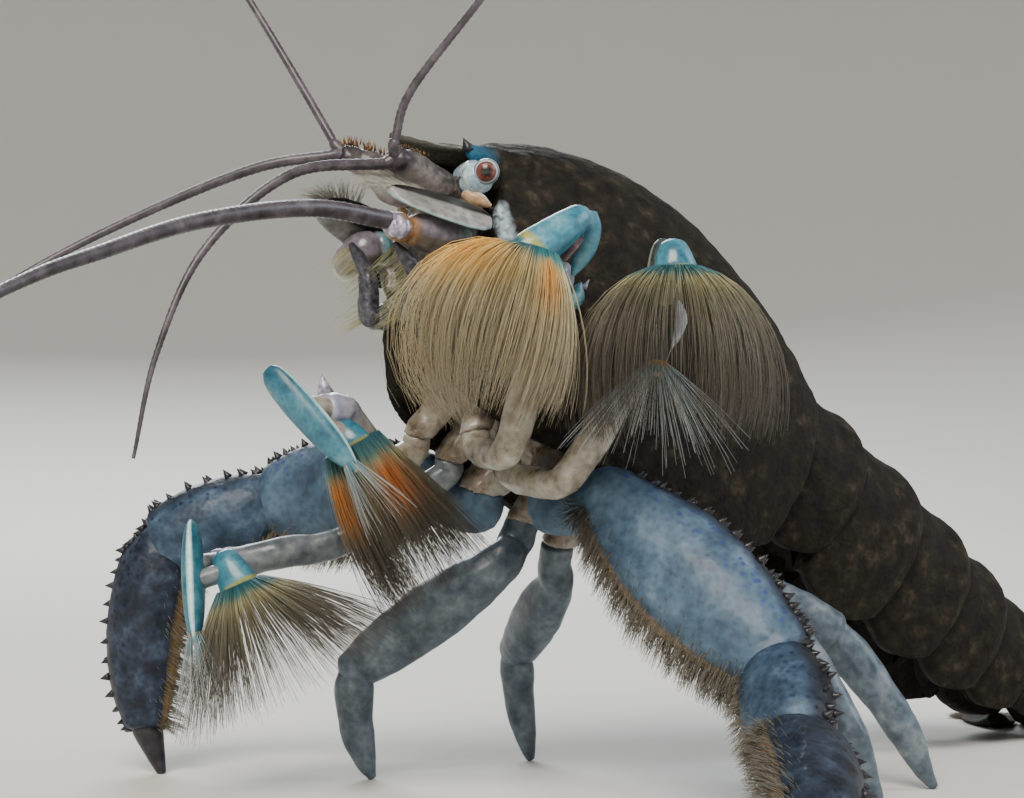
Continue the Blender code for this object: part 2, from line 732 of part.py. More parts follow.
def antennules():
    """The upper feelers: a stout spiny stem and two whips on each side."""
    for word, side in (("left", LEFT), ("right", RIGHT)):
        joint, tip = across(side, ANTENNULE_JOINT), ANTENNULE_TIPS[word]
        collar = joint + across(side, (-1.0, -0.2, 0.3))
        knee = joint + across(side, (-2.4, -0.7, 0.9))
        path = [joint, collar, knee, knee.lerp(tip, 0.55), tip]
        pieces = [limb(path, ANTENNULE_SIZES, sides=9, start_cut=FORWARD)]
        for kind in ("outer", "inner"):
            route = [Vector(p) for p in ANTENNULE_WHIPS[f"{word}_{kind}"]]
            way = (route[1] - route[0]).normalized()
            root = tip + (tip - route[0]) * 0.3 - (tip - knee).normalized() * 0.4
            thick, thin = PRONG_RADII
            pieces.append(peg(root, route[0] - way * GAP / 2, thick, sides=7, end_radius=thin))
            node(f"antennule_{word}_{kind}_whip", [whip(route, THIN_WHIP, way)], DARK_FEELER)
        for k in range(CREST_COUNT):
            foot = knee.lerp(tip, k / CREST_COUNT * 1.19) + across(side, (0.0, -0.4, 1.05))
            pieces.append(spine(foot, Vector((-0.45, 0.0, 1.0)), *CREST_SPINE))
        pieces.append(spine(knee + UP * 1.1, Vector((-0.9, 0.0, 0.5)), *SHOULDER_SPINE))
        node(f"antennule_{word}_stem", pieces, DARK_FEELER)


ANTENNA_STEMS = {
    "left": (
        (-13.3, -5.2, 44.6), (-14.9, -5.3, 44.7), (-16.6, -5.5, 44.7),
        (-17.4, -5.5, 44.9), (-18.3, -5.6, 45.3),
    ),
    "right": (
        (-13.0, 5.8, 44.2), (-12.9, 7.8, 43.5), (-11.9, 9.9, 43.3),
        (-11.1, 10.8, 43.4), (-10.0, 11.3, 43.6),
    ),
}
ANTENNA_SIZES = ((1.45, 1.45), (1.6, 1.55), (1.45, 1.4), (1.05, 1.05), (1.15, 1.15), (0.75, 0.75))
# Each whip goes on from the end of its stem.
ANTENNA_WHIPS = {
    "left": (
        (-26.0, -6.6, 45.5), (-37.1, -10.0, 43.4), (-47.0, -14.5, 40.2),
        (-56.1, -19.0, 36.8), (-77.0, -29.0, 27.0),
    ),
    "right": (
        (0.0, 14.2, 43.8), (14.0, 16.5, 40.5), (30.0, 19.0, 34.5),
        (46.0, 22.5, 27.5), (60.0, 27.0, 21.0),
    ),
}
SCALE_ROOT = Vector((-10.1, -7.4, 45.7))
SCALE_TIP = Vector((-17.6, -5.0, 47.7))


def antennae():
    """The lower feelers: a thick stem, one strong whip and a leaf-shaped scale each."""
    for word, side in (("left", LEFT), ("right", RIGHT)):
        path = [across(side, ANTENNA_JOINT), *[Vector(p) for p in ANTENNA_STEMS[word]]]
        route = [path[-1], *[Vector(p) for p in ANTENNA_WHIPS[word]]]
        way = (route[1] - route[0]).normalized()
        stem = limb(path, ANTENNA_SIZES, sides=11, start_cut=FORWARD, end_cut=way)
        node(f"antenna_{word}_stem", [stem], PALE_LIMB)
        lash = whip(route, STRONG_WHIP, way, rings=STRONG_WHIP_RINGS)
        node(f"antenna_{word}_whip", [lash], DARK_FEELER)
        antennal_scale(word, side)


SCALE_HALF_WIDTH = 2.0
SCALE_HALF_THICKNESS = 0.45
SCALE_FACE = Vector((0.1, -0.5, 0.86))
# Share of the scale's length, and of its half width there.
SCALE_OUTLINE = ((0.0, 0.45), (0.15, 0.8), (0.45, 1.0), (0.75, 0.95), (0.93, 0.6), (1.0, 0.2))
FRINGE_COUNT = 7
FRINGE_TURN = (56.0, -10.0)
FRINGE_LENGTH = 3.4
FRINGE_DROOP = Vector((0.0, 0.0, -0.4))
FRINGE_WIDTHS = (0.5, 0.45)
# A lock's middle point lies at this share of its length.
LOCK_MIDDLE = 0.47


def antennal_scale(word, side):
    """The flat scale above the feeler's stem, with a fringe of long bristles."""
    root, tip = across(side, SCALE_ROOT), across(side, SCALE_TIP)
    aim = (tip - root).normalized()
    length = (tip - root).length
    flat = across(side, SCALE_FACE)
    flat = (flat - aim * flat.dot(aim)).normalized()
    inward = aim.cross(flat) * side
    path = [root.lerp(tip, t) for t, _ in SCALE_OUTLINE]
    sizes = [(SCALE_HALF_THICKNESS, SCALE_HALF_WIDTH * share) for _, share in SCALE_OUTLINE]
    pieces = [limb(path, sizes, up=flat, sides=8)]
    first, last = FRINGE_TURN
    for k in range(FRINGE_COUNT):
        f = k / (FRINGE_COUNT - 1)
        turn = math.radians(first + (last - first) * f)
        way = aim * math.cos(turn) + inward * math.sin(turn)
        reach = math.cos(math.pi / 2 * max(0.0, f - 0.3) / 0.7)
        foot = root.lerp(tip, 0.45 + 0.5 * f) + inward * (SCALE_HALF_WIDTH * 0.62 * reach)
        end = foot + way * FRINGE_LENGTH + FRINGE_DROOP
        hair = [foot - way * 0.3, foot + way * (FRINGE_LENGTH * LOCK_MIDDLE), end]
        pieces.append(lock(hair, FRINGE_WIDTHS, [flat] * 2))
    node(f"antennal_scale_{word}", pieces, PALE_LIMB)


MAXILLIPED_ROUTES = {
    "left": ((-13.3, -2.3, 38.6), (-14.9, -2.8, 38.6), (-15.2, -3.6, 41.0), (-17.6, -4.4, 43.2)),
    "right": ((-13.3, 2.3, 38.6), (-14.7, 2.2, 38.7), (-14.9, 2.2, 41.8), (-16.3, 2.5, 44.3)),
}
MAXILLIPED_SIZES = (
    (1.15, 1.1), (1.15, 1.0), (1.05, 0.9), (1.0, 0.85),
    (0.95, 0.8), (0.85, 0.7), (0.6, 0.55), (0.25, 0.25),
)
COMB_LENGTH = 3.4
COMB_WIDTHS = (0.45, 0.35)


def maxillipeds():
    """The third maxillipeds, held like two palps in front of the mouth."""
    for word, side in (("left", LEFT), ("right", RIGHT)):
        ahead = across(side, MAXILLIPED_OUT)
        path = smooth(MAXILLIPED_ROUTES[word], len(MAXILLIPED_SIZES))
        palp_up = Vector((0.3, 1.0, 0.0))
        pieces = [limb(path, MAXILLIPED_SIZES, up=palp_up, sides=8, start_cut=ahead)]
        for k, foot in enumerate(path[2:7]):
            way = Vector((-0.9, 0.3 - 0.05 * side, -0.25 - 0.1 * k)).normalized()
            normal = way.cross(Vector((0.2, 0.2, 1.0))).normalized()
            end = foot + way * COMB_LENGTH - UP * 0.3
            hair = [foot, foot + way * (COMB_LENGTH * LOCK_MIDDLE), end]
            pieces.append(lock(hair, COMB_WIDTHS, [normal] * 2))
        node(f"maxilliped_{word}", pieces, PALE_LIMB)


# The four fan-bearing arms. Each has its elbow, wrist and hand from heel to tip. Its finger is a
# cap from the middle of the bristle roots to a free end. Round the roots hangs a skirt of locks,
# with the half sizes of its root, the side to which it bulges, and, on its left and on its right
# side, the angle at which it leaves its axis, the angle to which it bends and its length. The
# brush at the hand's tip has a count, such angles and a length.
ARMS = {
    "cheliped_1_left": dict(
        coxa="cheliped_1", side=LEFT, elbow=(-10.6, -10.6, 27.8), wrist=(-8.6, -13.9, 40.2),
        heel=(-6.6, -15.0, 46.0), tip=(-15.2, -14.6, 38.8), root=(-13.8, -17.4, 42.1),
        cap_end=(-9.1, -18.3, 45.4), axis=(-0.32, 0.0, -0.95), bulge=(-1.1, -1.0, 0.1),
        half=(1.1, 1.9), left=(72.0, -52.0, 17.5), right=(38.0, 4.0, 12.5), bend=1.0, count=12,
        brush=(8, 26.0, 12.0, 8.6),
    ),
    "cheliped_2_left": dict(
        coxa="cheliped_2", side=LEFT, elbow=(-5.8, -11.4, 25.4), wrist=(1.2, -15.8, 37.6),
        heel=(0.2, -16.6, 44.0), tip=(-2.8, -18.9, 33.4), root=(-2.2, -20.5, 41.2),
        cap_end=(-1.9, -19.7, 43.6), axis=(-0.06, -0.08, -0.99), bulge=(0.1, -1.0, 0.0),
        half=(1.2, 1.9), left=(78.0, -8.0, 17.2), right=(72.0, -8.0, 16.4), bend=0.75, count=12,
        brush=(8, 34.0, 24.0, 9.4),
    ),
    "cheliped_1_right": dict(
        coxa="cheliped_1", side=RIGHT, elbow=(-11.8, 4.4, 26.6), wrist=(-17.2, 2.4, 30.9),
        heel=(-23.6, 3.1, 34.0), tip=(-19.2, -2.7, 26.2), root=(-17.8, -0.2, 28.0),
        cap_end=(-18.4, 1.1, 29.9), axis=(0.46, -0.12, -0.88), bulge=(1.0, 0.45, 0.1),
        half=(1.3, 2.2), left=(26.0, -10.0, 14.2), right=(14.0, 12.0, 13.2), bend=0.75, count=8,
        brush=(5, 16.0, 10.0, 6.4),
    ),
    "cheliped_2_right": dict(
        coxa="cheliped_2", side=RIGHT, elbow=(-12.0, 9.4, 20.6), wrist=(-20.6, 13.4, 18.6),
        heel=(-24.4, 13.4, 22.0), tip=(-26.2, 9.6, 12.6), root=(-22.6, 8.8, 16.9),
        cap_end=(-23.3, 10.6, 19.7), axis=(0.33, -0.2, -0.92), bulge=(0.9, 0.1, 0.0),
        half=(1.2, 1.8), left=(40.0, 30.0, 12.4), right=(58.0, 40.0, 12.8), bend=0.75, count=10,
        brush=(6, 22.0, 14.0, 8.8),
    ),
}
ARM_SIDES = 8
HAND_SIDES = 8
CAP_SIDES = 9
SKIRT_SPREAD, BRUSH_SPREAD = 212.0, 310.0
# The direction that a fan's left side faces.
ASIDE = Vector((-0.788, 0.616, 0.0))
BRUSH_HALF = (1.1, 1.1)
BRUSH_BEHIND_TIP = 2.0
BRUSH_BEND = 0.75
# The brush points partly along the fan's axis and partly along the hand.
BRUSH_BY_AXIS, BRUSH_BY_HAND = 0.4, 0.6
LOCK_STEPS = 4
LOCK_PROFILE = (0.28, 0.72, 1.0, 0.85)
SKIRT_HALF_WIDTH = 1.0
BRUSH_HALF_WIDTH = 0.62
# Every second lock is rooted further in and opens wider, so that neighbours pass clear.
TIER_FLARE, TIER_END_FLARE, TIER_DROP, TIER_IN = 9.0, 5.0, 0.75, 0.25
LOCK_SINK = 0.45
ARM_RADII = (1.15, 1.25, 1.35, 1.3, 1.35, 1.4, 1.35, 1.45, 1.4)
ARM_FLATNESS = 0.9
# How far an arm leaves its coxa straight, the steps of its bend, and the side it is deepest to.
ARM_STRAIGHT = 1.2
ARM_BEND_STEPS = 7
ARM_UP = Vector((-1.0, 0.0, 0.2))
PALM_AT = 0.36
# Share of the hand's length, its half depth and half width.
HAND = (
    (0.0, 0.5, 0.75), (0.12, 0.8, 1.2), (0.4, 1.0, 1.4),
    (0.75, 0.85, 1.15), (0.95, 0.5, 0.65), (1.0, 0.3, 0.35),
)
# Share of the cap's length from the roots, its half depth and half width.
CAP = (
    (-0.3, 0.6, 1.0), (0.0, 1.15, 1.7), (0.35, 1.15, 1.55),
    (0.7, 1.0, 1.25), (0.92, 0.65, 0.85), (1.0, 0.35, 0.5),
)
WRIST_RADII = (0.9, 1.05)
HINGE_RADII = (0.8, 0.75)


def bristle_bell(root, axis, bulge, spread, half, left, right, bend, count, widest):
    """Tapered locks round an axis, that leave it at one angle and bend over to another."""
    axis = axis.normalized()
    front = squared(bulge, axis)
    side = axis.cross(front)
    aside = squared(ASIDE, axis)
    locks = []
    for k in range(count):
        a = math.radians(spread) * (k / (count - 1) - 0.5)
        radial = front * math.cos(a) + side * math.sin(a)
        leftness = radial.dot(aside)
        opening, closing, reach = (r + (v - r) * (0.5 + 0.5 * leftness) for v, r in zip(left, right))
        rim = math.hypot(half[0] * math.sqrt(max(0.0, 1.0 - leftness**2)), half[1] * leftness)
        tier = k % 2
        opening = math.radians(opening + TIER_FLARE * tier)
        closing = math.radians(closing + TIER_END_FLARE * tier)
        reach *= (0.97 + 0.05 * random.random()) * (1.0 - 0.06 * tier)
        place = root + axis * (TIER_DROP * tier) + radial * (rim - LOCK_SINK - TIER_IN * tier)
        path, normals = [place], []
        for i in range(LOCK_STEPS):
            t = (i + 0.5) / LOCK_STEPS
            tilt = opening + (closing - opening) * t**bend
            way = radial * math.sin(tilt) + axis * math.cos(tilt)
            normals.append(radial * math.cos(tilt) - axis * math.sin(tilt))
            place = place + way * (reach / LOCK_STEPS)
            path.append(place)
        locks.append(lock(path, [widest * share for share in LOCK_PROFILE], normals))
    return locks


def fan_hand(row, knuckle, joint, joint_way, hinge):
    """The upper half of a fan: the hand, its two pegs, and the brush of locks at its tip."""
    heel, tip, axis, bulge = (Vector(row[key]) for key in ("heel", "tip", "axis", "bulge"))
    way = (tip - heel).normalized()
    heart = heel.lerp(tip, 0.5)
    to_knuckle = (knuckle - heart).normalized()
    path = [heel.lerp(tip, t) for t, _, _ in HAND]
    sizes = [(thick, wide) for _, thick, wide in HAND]
    pieces = [limb(path, sizes, up=to_knuckle, sides=HAND_SIDES)]
    inner, outer = WRIST_RADII
    socket_end = joint + joint_way * GAP / 2
    pieces.append(peg(heel.lerp(tip, PALM_AT), socket_end, inner, end_radius=outer))
    pieces.append(peg(heart, hinge - to_knuckle * GAP / 2, HINGE_RADII[0]))
    count, *angles = row["brush"]
    brush_axis = axis.normalized() * BRUSH_BY_AXIS + way * BRUSH_BY_HAND
    pieces += bristle_bell(
        tip - way * BRUSH_BEHIND_TIP, brush_axis, bulge, BRUSH_SPREAD, BRUSH_HALF, angles, angles,
        BRUSH_BEND, count, BRUSH_HALF_WIDTH,
    )
    return pieces


def fan_finger(row, knuckle, to_knuckle, hinge):
    """The lower half of a fan: the capped finger and the skirt of locks round its root."""
    root, cap_end, axis, bulge = (Vector(row[key]) for key in ("root", "cap_end", "axis", "bulge"))
    path = [root.lerp(cap_end, t) for t, _, _ in CAP]
    pieces = [limb(path, [(deep, wide) for _, deep, wide in CAP], up=bulge, sides=CAP_SIDES)]
    pieces.append(peg(knuckle, hinge + to_knuckle * GAP / 2, HINGE_RADII[1]))
    pieces += bristle_bell(
        root, axis, bulge, SKIRT_SPREAD, row["half"], row["left"], row["right"], row["bend"],
        row["count"], SKIRT_HALF_WIDTH,
    )
    return pieces


def arms():
    """The four arms of the fans, each an arm, a hand with a brush and a finger with a skirt."""
    for name, row in ARMS.items():
        coxa, out = coxa_point(row["coxa"], row["side"])
        elbow, wrist, heel, tip = (Vector(row[key]) for key in ("elbow", "wrist", "heel", "tip"))
        palm = heel.lerp(tip, PALM_AT)
        wrist_way = (palm - wrist).normalized()
        wrist_joint = wrist.lerp(palm, PALM_AT)
        bend = smooth([coxa + out * ARM_STRAIGHT, elbow, elbow.lerp(wrist, 0.5), wrist], ARM_BEND_STEPS)
        arm = limb(
            [coxa, *bend, wrist_joint], [(r, r * ARM_FLATNESS) for r in ARM_RADII],
            up=ARM_UP, sides=ARM_SIDES, start_cut=out, end_cut=wrist_way,
        )
        node(f"{name}_arm", [arm], PALE_LIMB)

        heart = heel.lerp(tip, 0.5)
        knuckle = Vector(row["root"]).lerp(Vector(row["cap_end"]), 0.5)
        hinge = heart.lerp(knuckle, 0.5)
        to_knuckle = (knuckle - heart).normalized()
        node(f"{name}_hand", fan_hand(row, knuckle, wrist_joint, wrist_way, hinge), TURQUOISE_HAND)
        node(f"{name}_finger", fan_finger(row, knuckle, to_knuckle, hinge), BRISTLE)


# Third legs, the stout ones: joints from the coxa to the claw's foot.
THIRD_LEGS = {
    "left": dict(
        ischium=(-1.6, -11.6, 24.2), knee=(2.2, -26.6, 11.9), ankle=(-1.9, -32.4, 7.0),
        wrist=(-11.0, -42.6, 3.1), foot=(-14.4, -45.8, 0.0), broad=(0.55, -0.45, 0.7),
    ),
    "right": dict(
        ischium=(-4.2, 8.6, 25.2), knee=(-11.5, 21.5, 23.9), ankle=(-19.2, 27.6, 20.0),
        wrist=(-20.4, 28.4, 4.4), foot=(-19.6, 26.8, 0.0), broad=(0.0, 0.0, 1.0),
    ),
}
THIGH_SIDES = 11
HIP_SIZES = ((1.9, 1.9), (2.0, 1.9), (2.1, 2.0), (2.4, 2.0))
# Share of a segment's length, and its (half depth, half width) there.
THIGH = ((0.18, (3.7, 2.7)), (0.45, (4.75, 3.3)), (0.72, (4.5, 3.1)), (0.9, (3.6, 2.7)), (1.0, (2.9, 2.3)))
CARPUS = ((0.0, (2.3, 2.1)), (0.22, (3.2, 2.7)), (0.55, (3.6, 3.0)), (0.85, (3.3, 2.8)), (1.0, (2.8, 2.4)))
PROPODUS = (
    (0.0, (2.6, 2.3)), (0.15, (3.3, 2.7)), (0.45, (3.4, 2.8)), (0.75, (3.0, 2.5)), (1.0, (2.0, 1.8)),
)
PROPODUS_BOW = 0.9
CLAW = ((0.0, (1.5, 1.4)), (0.45, (1.1, 1.0)), (1.0, (0.5, 0.5)))
# How high the surface stands above a segment's axis, on its spiny and its hairy edge.
THIGH_EDGE = ((0.0, 3.4), (0.3, 4.6), (0.7, 4.5), (1.0, 3.4))
CARPUS_EDGE = ((0.0, 3.3), (1.0, 3.3))
PROPODUS_EDGE = ((0.0, 3.2), (0.5, 4.3), (1.0, 2.8))
PROPODUS_UNDER = ((0.0, 2.6), (0.5, 2.4), (1.0, 1.7))
SPINE_LENGTH, SPINE_RADIUS, SPINE_LEAN = 0.8, 0.42, 0.3
SPINE_SINK = 0.15
HAIR_SINK = 0.4
HAIR_LEAN = 0.35


def segment(start, end, stations, up, start_cut, end_cut, bow=0.0):
    """One swollen length of a third leg between two joint planes."""
    rise = up * bow
    path = [start.lerp(end, t) + rise * math.sin(math.pi * t) for t, _ in stations]
    sizes = [size for _, size in stations]
    return limb(path, sizes, up=up, sides=THIGH_SIDES, start_cut=start_cut, end_cut=end_cut)


def spine_row(start, end, normal, count, edge):
    """Spines at even steps along a line, leaning a little toward its end."""
    lean_way = (end - start).normalized() * SPINE_LEAN
    row = []
    for k in range(count):
        t = (k + 0.5) / count
        foot = start.lerp(end, t) + normal * (blend(edge, t) - SPINE_SINK)
        row.append(spine(foot, normal + lean_way, SPINE_LENGTH, SPINE_RADIUS))
    return row


def fringe_row(start, end, normal, count, edge, length, wide):
    """Short flat locks of hair along the edge of a leg, bent to its two faces in turn."""
    along = (end - start).normalized()
    face = along.cross(normal).normalized()
    way = (normal + along * HAIR_LEAN).normalized()
    row = []
    for k in range(count):
        t = (k + 0.5) / count
        foot = start.lerp(end, t) + normal * (blend(edge, t) - HAIR_SINK)
        tilt = face * (0.1 if k % 2 else -0.1)
        reach = HAIR_SINK + length
        path = [foot - way * 0.4, foot + way * (HAIR_SINK + length * 0.5), foot + (way + tilt) * reach]
        row.append(lock(path, (wide, wide * 0.75), [face] * 2))
    return row


def third_legs():
    """The third legs: a swollen thigh, carpus and propodus with spines above and hair below."""
    for word, side in (("left", LEFT), ("right", RIGHT)):
        leg = {key: Vector(point) for key, point in THIRD_LEGS[word].items()}
        coxa, out = coxa_point("leg_3", side)
        ischium, knee, ankle, wrist, foot, broad = (
            leg[key] for key in ("ischium", "knee", "ankle", "wrist", "foot", "broad")
        )
        knee_cut = mitre(ischium, knee, ankle)
        ankle_cut = mitre(knee, ankle, wrist)
        wrist_cut = mitre(ankle, wrist, foot)

        drop = coxa + out * 1.6
        path = [coxa, drop, drop.lerp(ischium, 0.5) - UP * 0.4, ischium]
        path += [ischium.lerp(knee, t) for t, _ in THIGH]
        sizes = [*HIP_SIZES, *[size for _, size in THIGH]]
        thigh = limb(path, sizes, up=broad, sides=THIGH_SIDES, start_cut=out, end_cut=knee_cut)
        ridge = squared(broad, (knee - ischium).normalized())
        near, far = ischium.lerp(knee, 0.21), ischium.lerp(knee, 0.95)
        spikes = spine_row(near, far, ridge, 9, THIGH_EDGE)
        hairs = fringe_row(near, far, -ridge, 9, THIGH_EDGE, 2.0, 0.75)
        node(f"leg_3_{word}_thigh", [thigh, *spikes, *hairs], BLUE_SHELL)

        carpus = segment(knee, ankle, CARPUS, broad, knee_cut, ankle_cut)
        ridge = squared(broad, (ankle - knee).normalized())
        spikes = spine_row(knee.lerp(ankle, 0.15), knee.lerp(ankle, 0.9), ridge, 4, CARPUS_EDGE)
        node(f"leg_3_{word}_carpus", [carpus, *spikes], BLUE_SHELL)

        ridge = squared(knee_cut + broad * 0.4, (wrist - ankle).normalized())
        shin = segment(ankle, wrist, PROPODUS, ridge, ankle_cut, wrist_cut, bow=PROPODUS_BOW)
        near, far = ankle.lerp(wrist, 0.12), ankle.lerp(wrist, 0.92)
        spikes = spine_row(near, far, ridge, 8, PROPODUS_EDGE)
        near, far = ankle.lerp(wrist, 0.2), ankle.lerp(wrist, 0.95)
        hairs = fringe_row(near, far, -ridge, 5, PROPODUS_UNDER, 1.5, 0.7)
        node(f"leg_3_{word}_propodus", [shin, *spikes, *hairs], BLUE_SHELL)

        path = [wrist.lerp(foot, t) for t, _ in CLAW]
        sizes = [size for _, size in CLAW]
        claw = limb(path, sizes, up=ridge, sides=8, start_cut=wrist_cut, end_cut=-UP)
        node(f"leg_3_{word}_claw", [foot_flat(claw)], DARK_FEELER)


FOOT_FLAT_HEIGHT = 0.75


def foot_flat(piece):
    """Brings the lowest ring of a foot to one small flat on the floor."""
    low = min(v.co.z for v in piece.data.vertices)
    for corner in piece.data.vertices:
        if corner.co.z < low + FOOT_FLAT_HEIGHT:
            corner.co.z = 0.0
    return piece


# Walking legs: joints from the coxa to the foot.
WALKING_LEGS = {
    "leg_4_left": dict(
        side=LEFT, hip=(3.6, -9.6, 20.6), knee=(8.4, -21.6, 13.6),
        heel=(10.6, -25.6, 6.6), foot=(12.4, -27.4, 0.0),
    ),
    "leg_4_right": dict(
        side=RIGHT, hip=(0.4, 4.6, 18.4), knee=(-8.4, 13.8, 9.2),
        heel=(-8.2, 13.6, 4.2), foot=(-7.4, 12.4, 0.0),
    ),
    "leg_5_left": dict(
        side=LEFT, hip=(9.0, -8.4, 17.6), knee=(18.6, -16.6, 13.0),
        heel=(23.0, -19.6, 6.0), foot=(25.8, -21.0, 0.0),
    ),
    "leg_5_right": dict(
        side=RIGHT, hip=(7.2, 5.4, 16.4), knee=(9.6, 14.2, 10.0),
        heel=(10.6, 14.8, 4.8), foot=(11.0, 13.8, 0.0),
    ),
}
WALKING_THIGH = ((1.45, 1.45), (1.6, 1.45), (1.8, 1.5), (2.6, 1.9), (2.4, 1.8), (1.7, 1.45))
WALKING_SHIN = ((1.35, 1.25), (1.75, 1.5), (1.5, 1.35), (1.4, 1.2), (0.85, 0.8), (0.45, 0.45))
WALKING_SIDES = 9


def walking_legs():
    """The fourth and fifth legs, each a thigh and a shin that ends in a small claw."""
    for name, leg in WALKING_LEGS.items():
        coxa, out = coxa_point(name[:5], leg["side"])
        hip, knee, heel, foot = (Vector(leg[key]) for key in ("hip", "knee", "heel", "foot"))
        knee_cut = mitre(hip, knee, heel)
        drop = (coxa + out * 1.2).lerp(hip, 0.3)
        path = [coxa, drop, hip, hip.lerp(knee, 0.35), hip.lerp(knee, 0.75), knee]
        thigh = limb(path, WALKING_THIGH, sides=WALKING_SIDES, start_cut=out, end_cut=knee_cut)
        node(f"{name}_thigh", [thigh], BLUE_SHELL)
        path = [knee, knee.lerp(heel, 0.3), knee.lerp(heel, 0.8)]
        path += [heel.lerp(foot, 0.2), heel.lerp(foot, 0.7), foot]
        shin = limb(
            path, WALKING_SHIN, up=hip - knee, sides=WALKING_SIDES, start_cut=knee_cut, end_cut=-UP
        )
        node(f"{name}_shin", [foot_flat(shin)], BLUE_SHELL)


def footprint_shift(objects):
    """How far the animal moves so that its footprint's middle is the origin, in mm."""
    corners = [v.co for o in objects for v in o.data.vertices]
    low = [min(c[i] for c in corners) for i in range(3)]
    high = [max(c[i] for c in corners) for i in range(3)]
    return Vector((-(low[0] + high[0]) / 2, -(low[1] + high[1]) / 2, -low[2]))


carapace()
head()
sternum()
abdomen()
tail_fan()
eyes()
antennules()
antennae()
maxillipeds()
arms()
third_legs()
walking_legs()

solids = [o for o in bpy.data.objects if o.type == "MESH"]
SHIFT = footprint_shift(solids)
for solid in solids:
    solid.data.transform(Matrix.Scale(TO_METRES, 4) @ Matrix.Translation(SHIFT))
print("moved by", [round(x, 2) for x in SHIFT], "mm,", len(solids), "solids")
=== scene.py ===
# %% [markdown]
# # An African fan shrimp, dressed
# The solids of the animal come packed, in metres. This file keeps their places and gives each
# shell, feeler, fan and leg the form and finish of the living animal. Sizes are written in
# millimetres in the body's own frame: the head faces -X, the left side is -Y, the floor is z = 0
# and x = 0 lies under the third legs.

import math

import bmesh
import bpy
import numpy as np
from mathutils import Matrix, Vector, noise


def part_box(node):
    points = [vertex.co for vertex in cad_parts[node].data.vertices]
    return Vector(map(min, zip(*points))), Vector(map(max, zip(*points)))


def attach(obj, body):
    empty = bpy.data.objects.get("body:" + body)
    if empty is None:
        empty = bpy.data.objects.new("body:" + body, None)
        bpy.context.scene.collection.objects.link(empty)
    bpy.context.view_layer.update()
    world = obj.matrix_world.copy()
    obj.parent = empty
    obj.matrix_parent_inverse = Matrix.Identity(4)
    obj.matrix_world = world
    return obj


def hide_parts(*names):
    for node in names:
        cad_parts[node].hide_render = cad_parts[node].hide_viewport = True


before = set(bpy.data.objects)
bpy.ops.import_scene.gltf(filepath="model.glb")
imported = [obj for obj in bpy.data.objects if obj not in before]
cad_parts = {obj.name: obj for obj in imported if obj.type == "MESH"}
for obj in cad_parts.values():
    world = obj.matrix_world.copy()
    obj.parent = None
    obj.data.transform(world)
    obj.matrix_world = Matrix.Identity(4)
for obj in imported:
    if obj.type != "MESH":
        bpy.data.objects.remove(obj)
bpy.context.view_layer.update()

# %% [markdown]
# ## Places and units
# The rostrum's tip is the foremost point of the carapace, and the carapace is alike on both sides,
# so its box gives the step from the body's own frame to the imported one.

# %% Places and units
METRES = 0.001
ROSTRUM_TIP_X = -14.1
SEED = 11
LEFT, RIGHT = 1.0, -1.0
UP = np.array((0.0, 0.0, 1.0))
carapace_low, carapace_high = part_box("carapace")
ORIGIN = np.array((
    carapace_low.x / METRES - ROSTRUM_TIP_X,
    (carapace_low.y + carapace_high.y) / 2 / METRES,
    0.0,
))
rng = np.random.default_rng(SEED)
print("the body's frame lies at", ORIGIN.round(2), "mm")


def vec(*xyz):
    """A point or direction as an array."""
    return np.array(xyz, float)


def unit(v):
    """The direction of a vector, or of each row of an array of them."""
    v = np.asarray(v, float)
    return v / np.maximum(np.linalg.norm(v, axis=-1, keepdims=True), 1e-9)


def mirrored(side, point):
    """A point given for the left side, or its mirror image on the right."""
    return vec(point[0], point[1] * side, point[2])


# The cephalothorax is pitched head up; a station s lies behind the orbit, h above the sternum.
PITCH = math.radians(32.0)
BACK = vec(math.cos(PITCH), 0.0, -math.sin(PITCH))
DORSAL = vec(math.sin(PITCH), 0.0, math.cos(PITCH))
THIRD_LEG_S = 17.5
STERNUM_Z = 28.8


def body(s, w, h):
    """A point s behind the orbit, w to the animal's left and h above the sternum."""
    return vec(0.0, -w, STERNUM_Z) + BACK * (s - THIRD_LEG_S) + DORSAL * h


# %% [markdown]
# ## Camera
# The photo was taken from the animal's front left, a little above the floor and looking slightly
# up. The camera's place was found by laying the solids over the photo until the eye, the fans and
# the knees agreed. A long lens keeps the perspective that the fans and the back show.

# %% Camera
LOOK = vec(0.616, 0.788, 0.0)
ACROSS = vec(0.788, -0.616, 0.0)
CAMERA_DISTANCE = 180.0
CAMERA_ASIDE = 1.5
CAMERA_HEIGHT = 25.0
CAMERA_TILT = math.radians(2.306)
CAMERA_LENS = 75.94


def placed(name, data):
    """An object in the scene that holds a mesh, a light or a camera."""
    made = bpy.data.objects.new(name, data)
    bpy.context.scene.collection.objects.link(made)
    return made


camera_data = bpy.data.cameras.new("photo_view")
camera_data.sensor_width = 36.0
camera_data.lens = CAMERA_LENS
camera_data.clip_start = METRES
camera = placed("photo_view", camera_data)
stand = ORIGIN - LOOK * CAMERA_DISTANCE - ACROSS * CAMERA_ASIDE + UP * CAMERA_HEIGHT
camera.location = stand * METRES
gaze = Vector(LOOK * math.cos(CAMERA_TILT) + UP * math.sin(CAMERA_TILT))
camera.rotation_euler = gaze.to_track_quat("-Z", "Y").to_euler()
bpy.context.scene.camera = camera
print("camera at", (stand * METRES).round(4))

# %% [markdown]
# ## Two small tools for finishes
# Colours are written as they look on a screen, so one function turns them to the linear values
# that the renderer mixes. The other adds a node with its settings and its links in one line, so
# that a finish reads like a recipe; a node given as a feed stands for its main output.

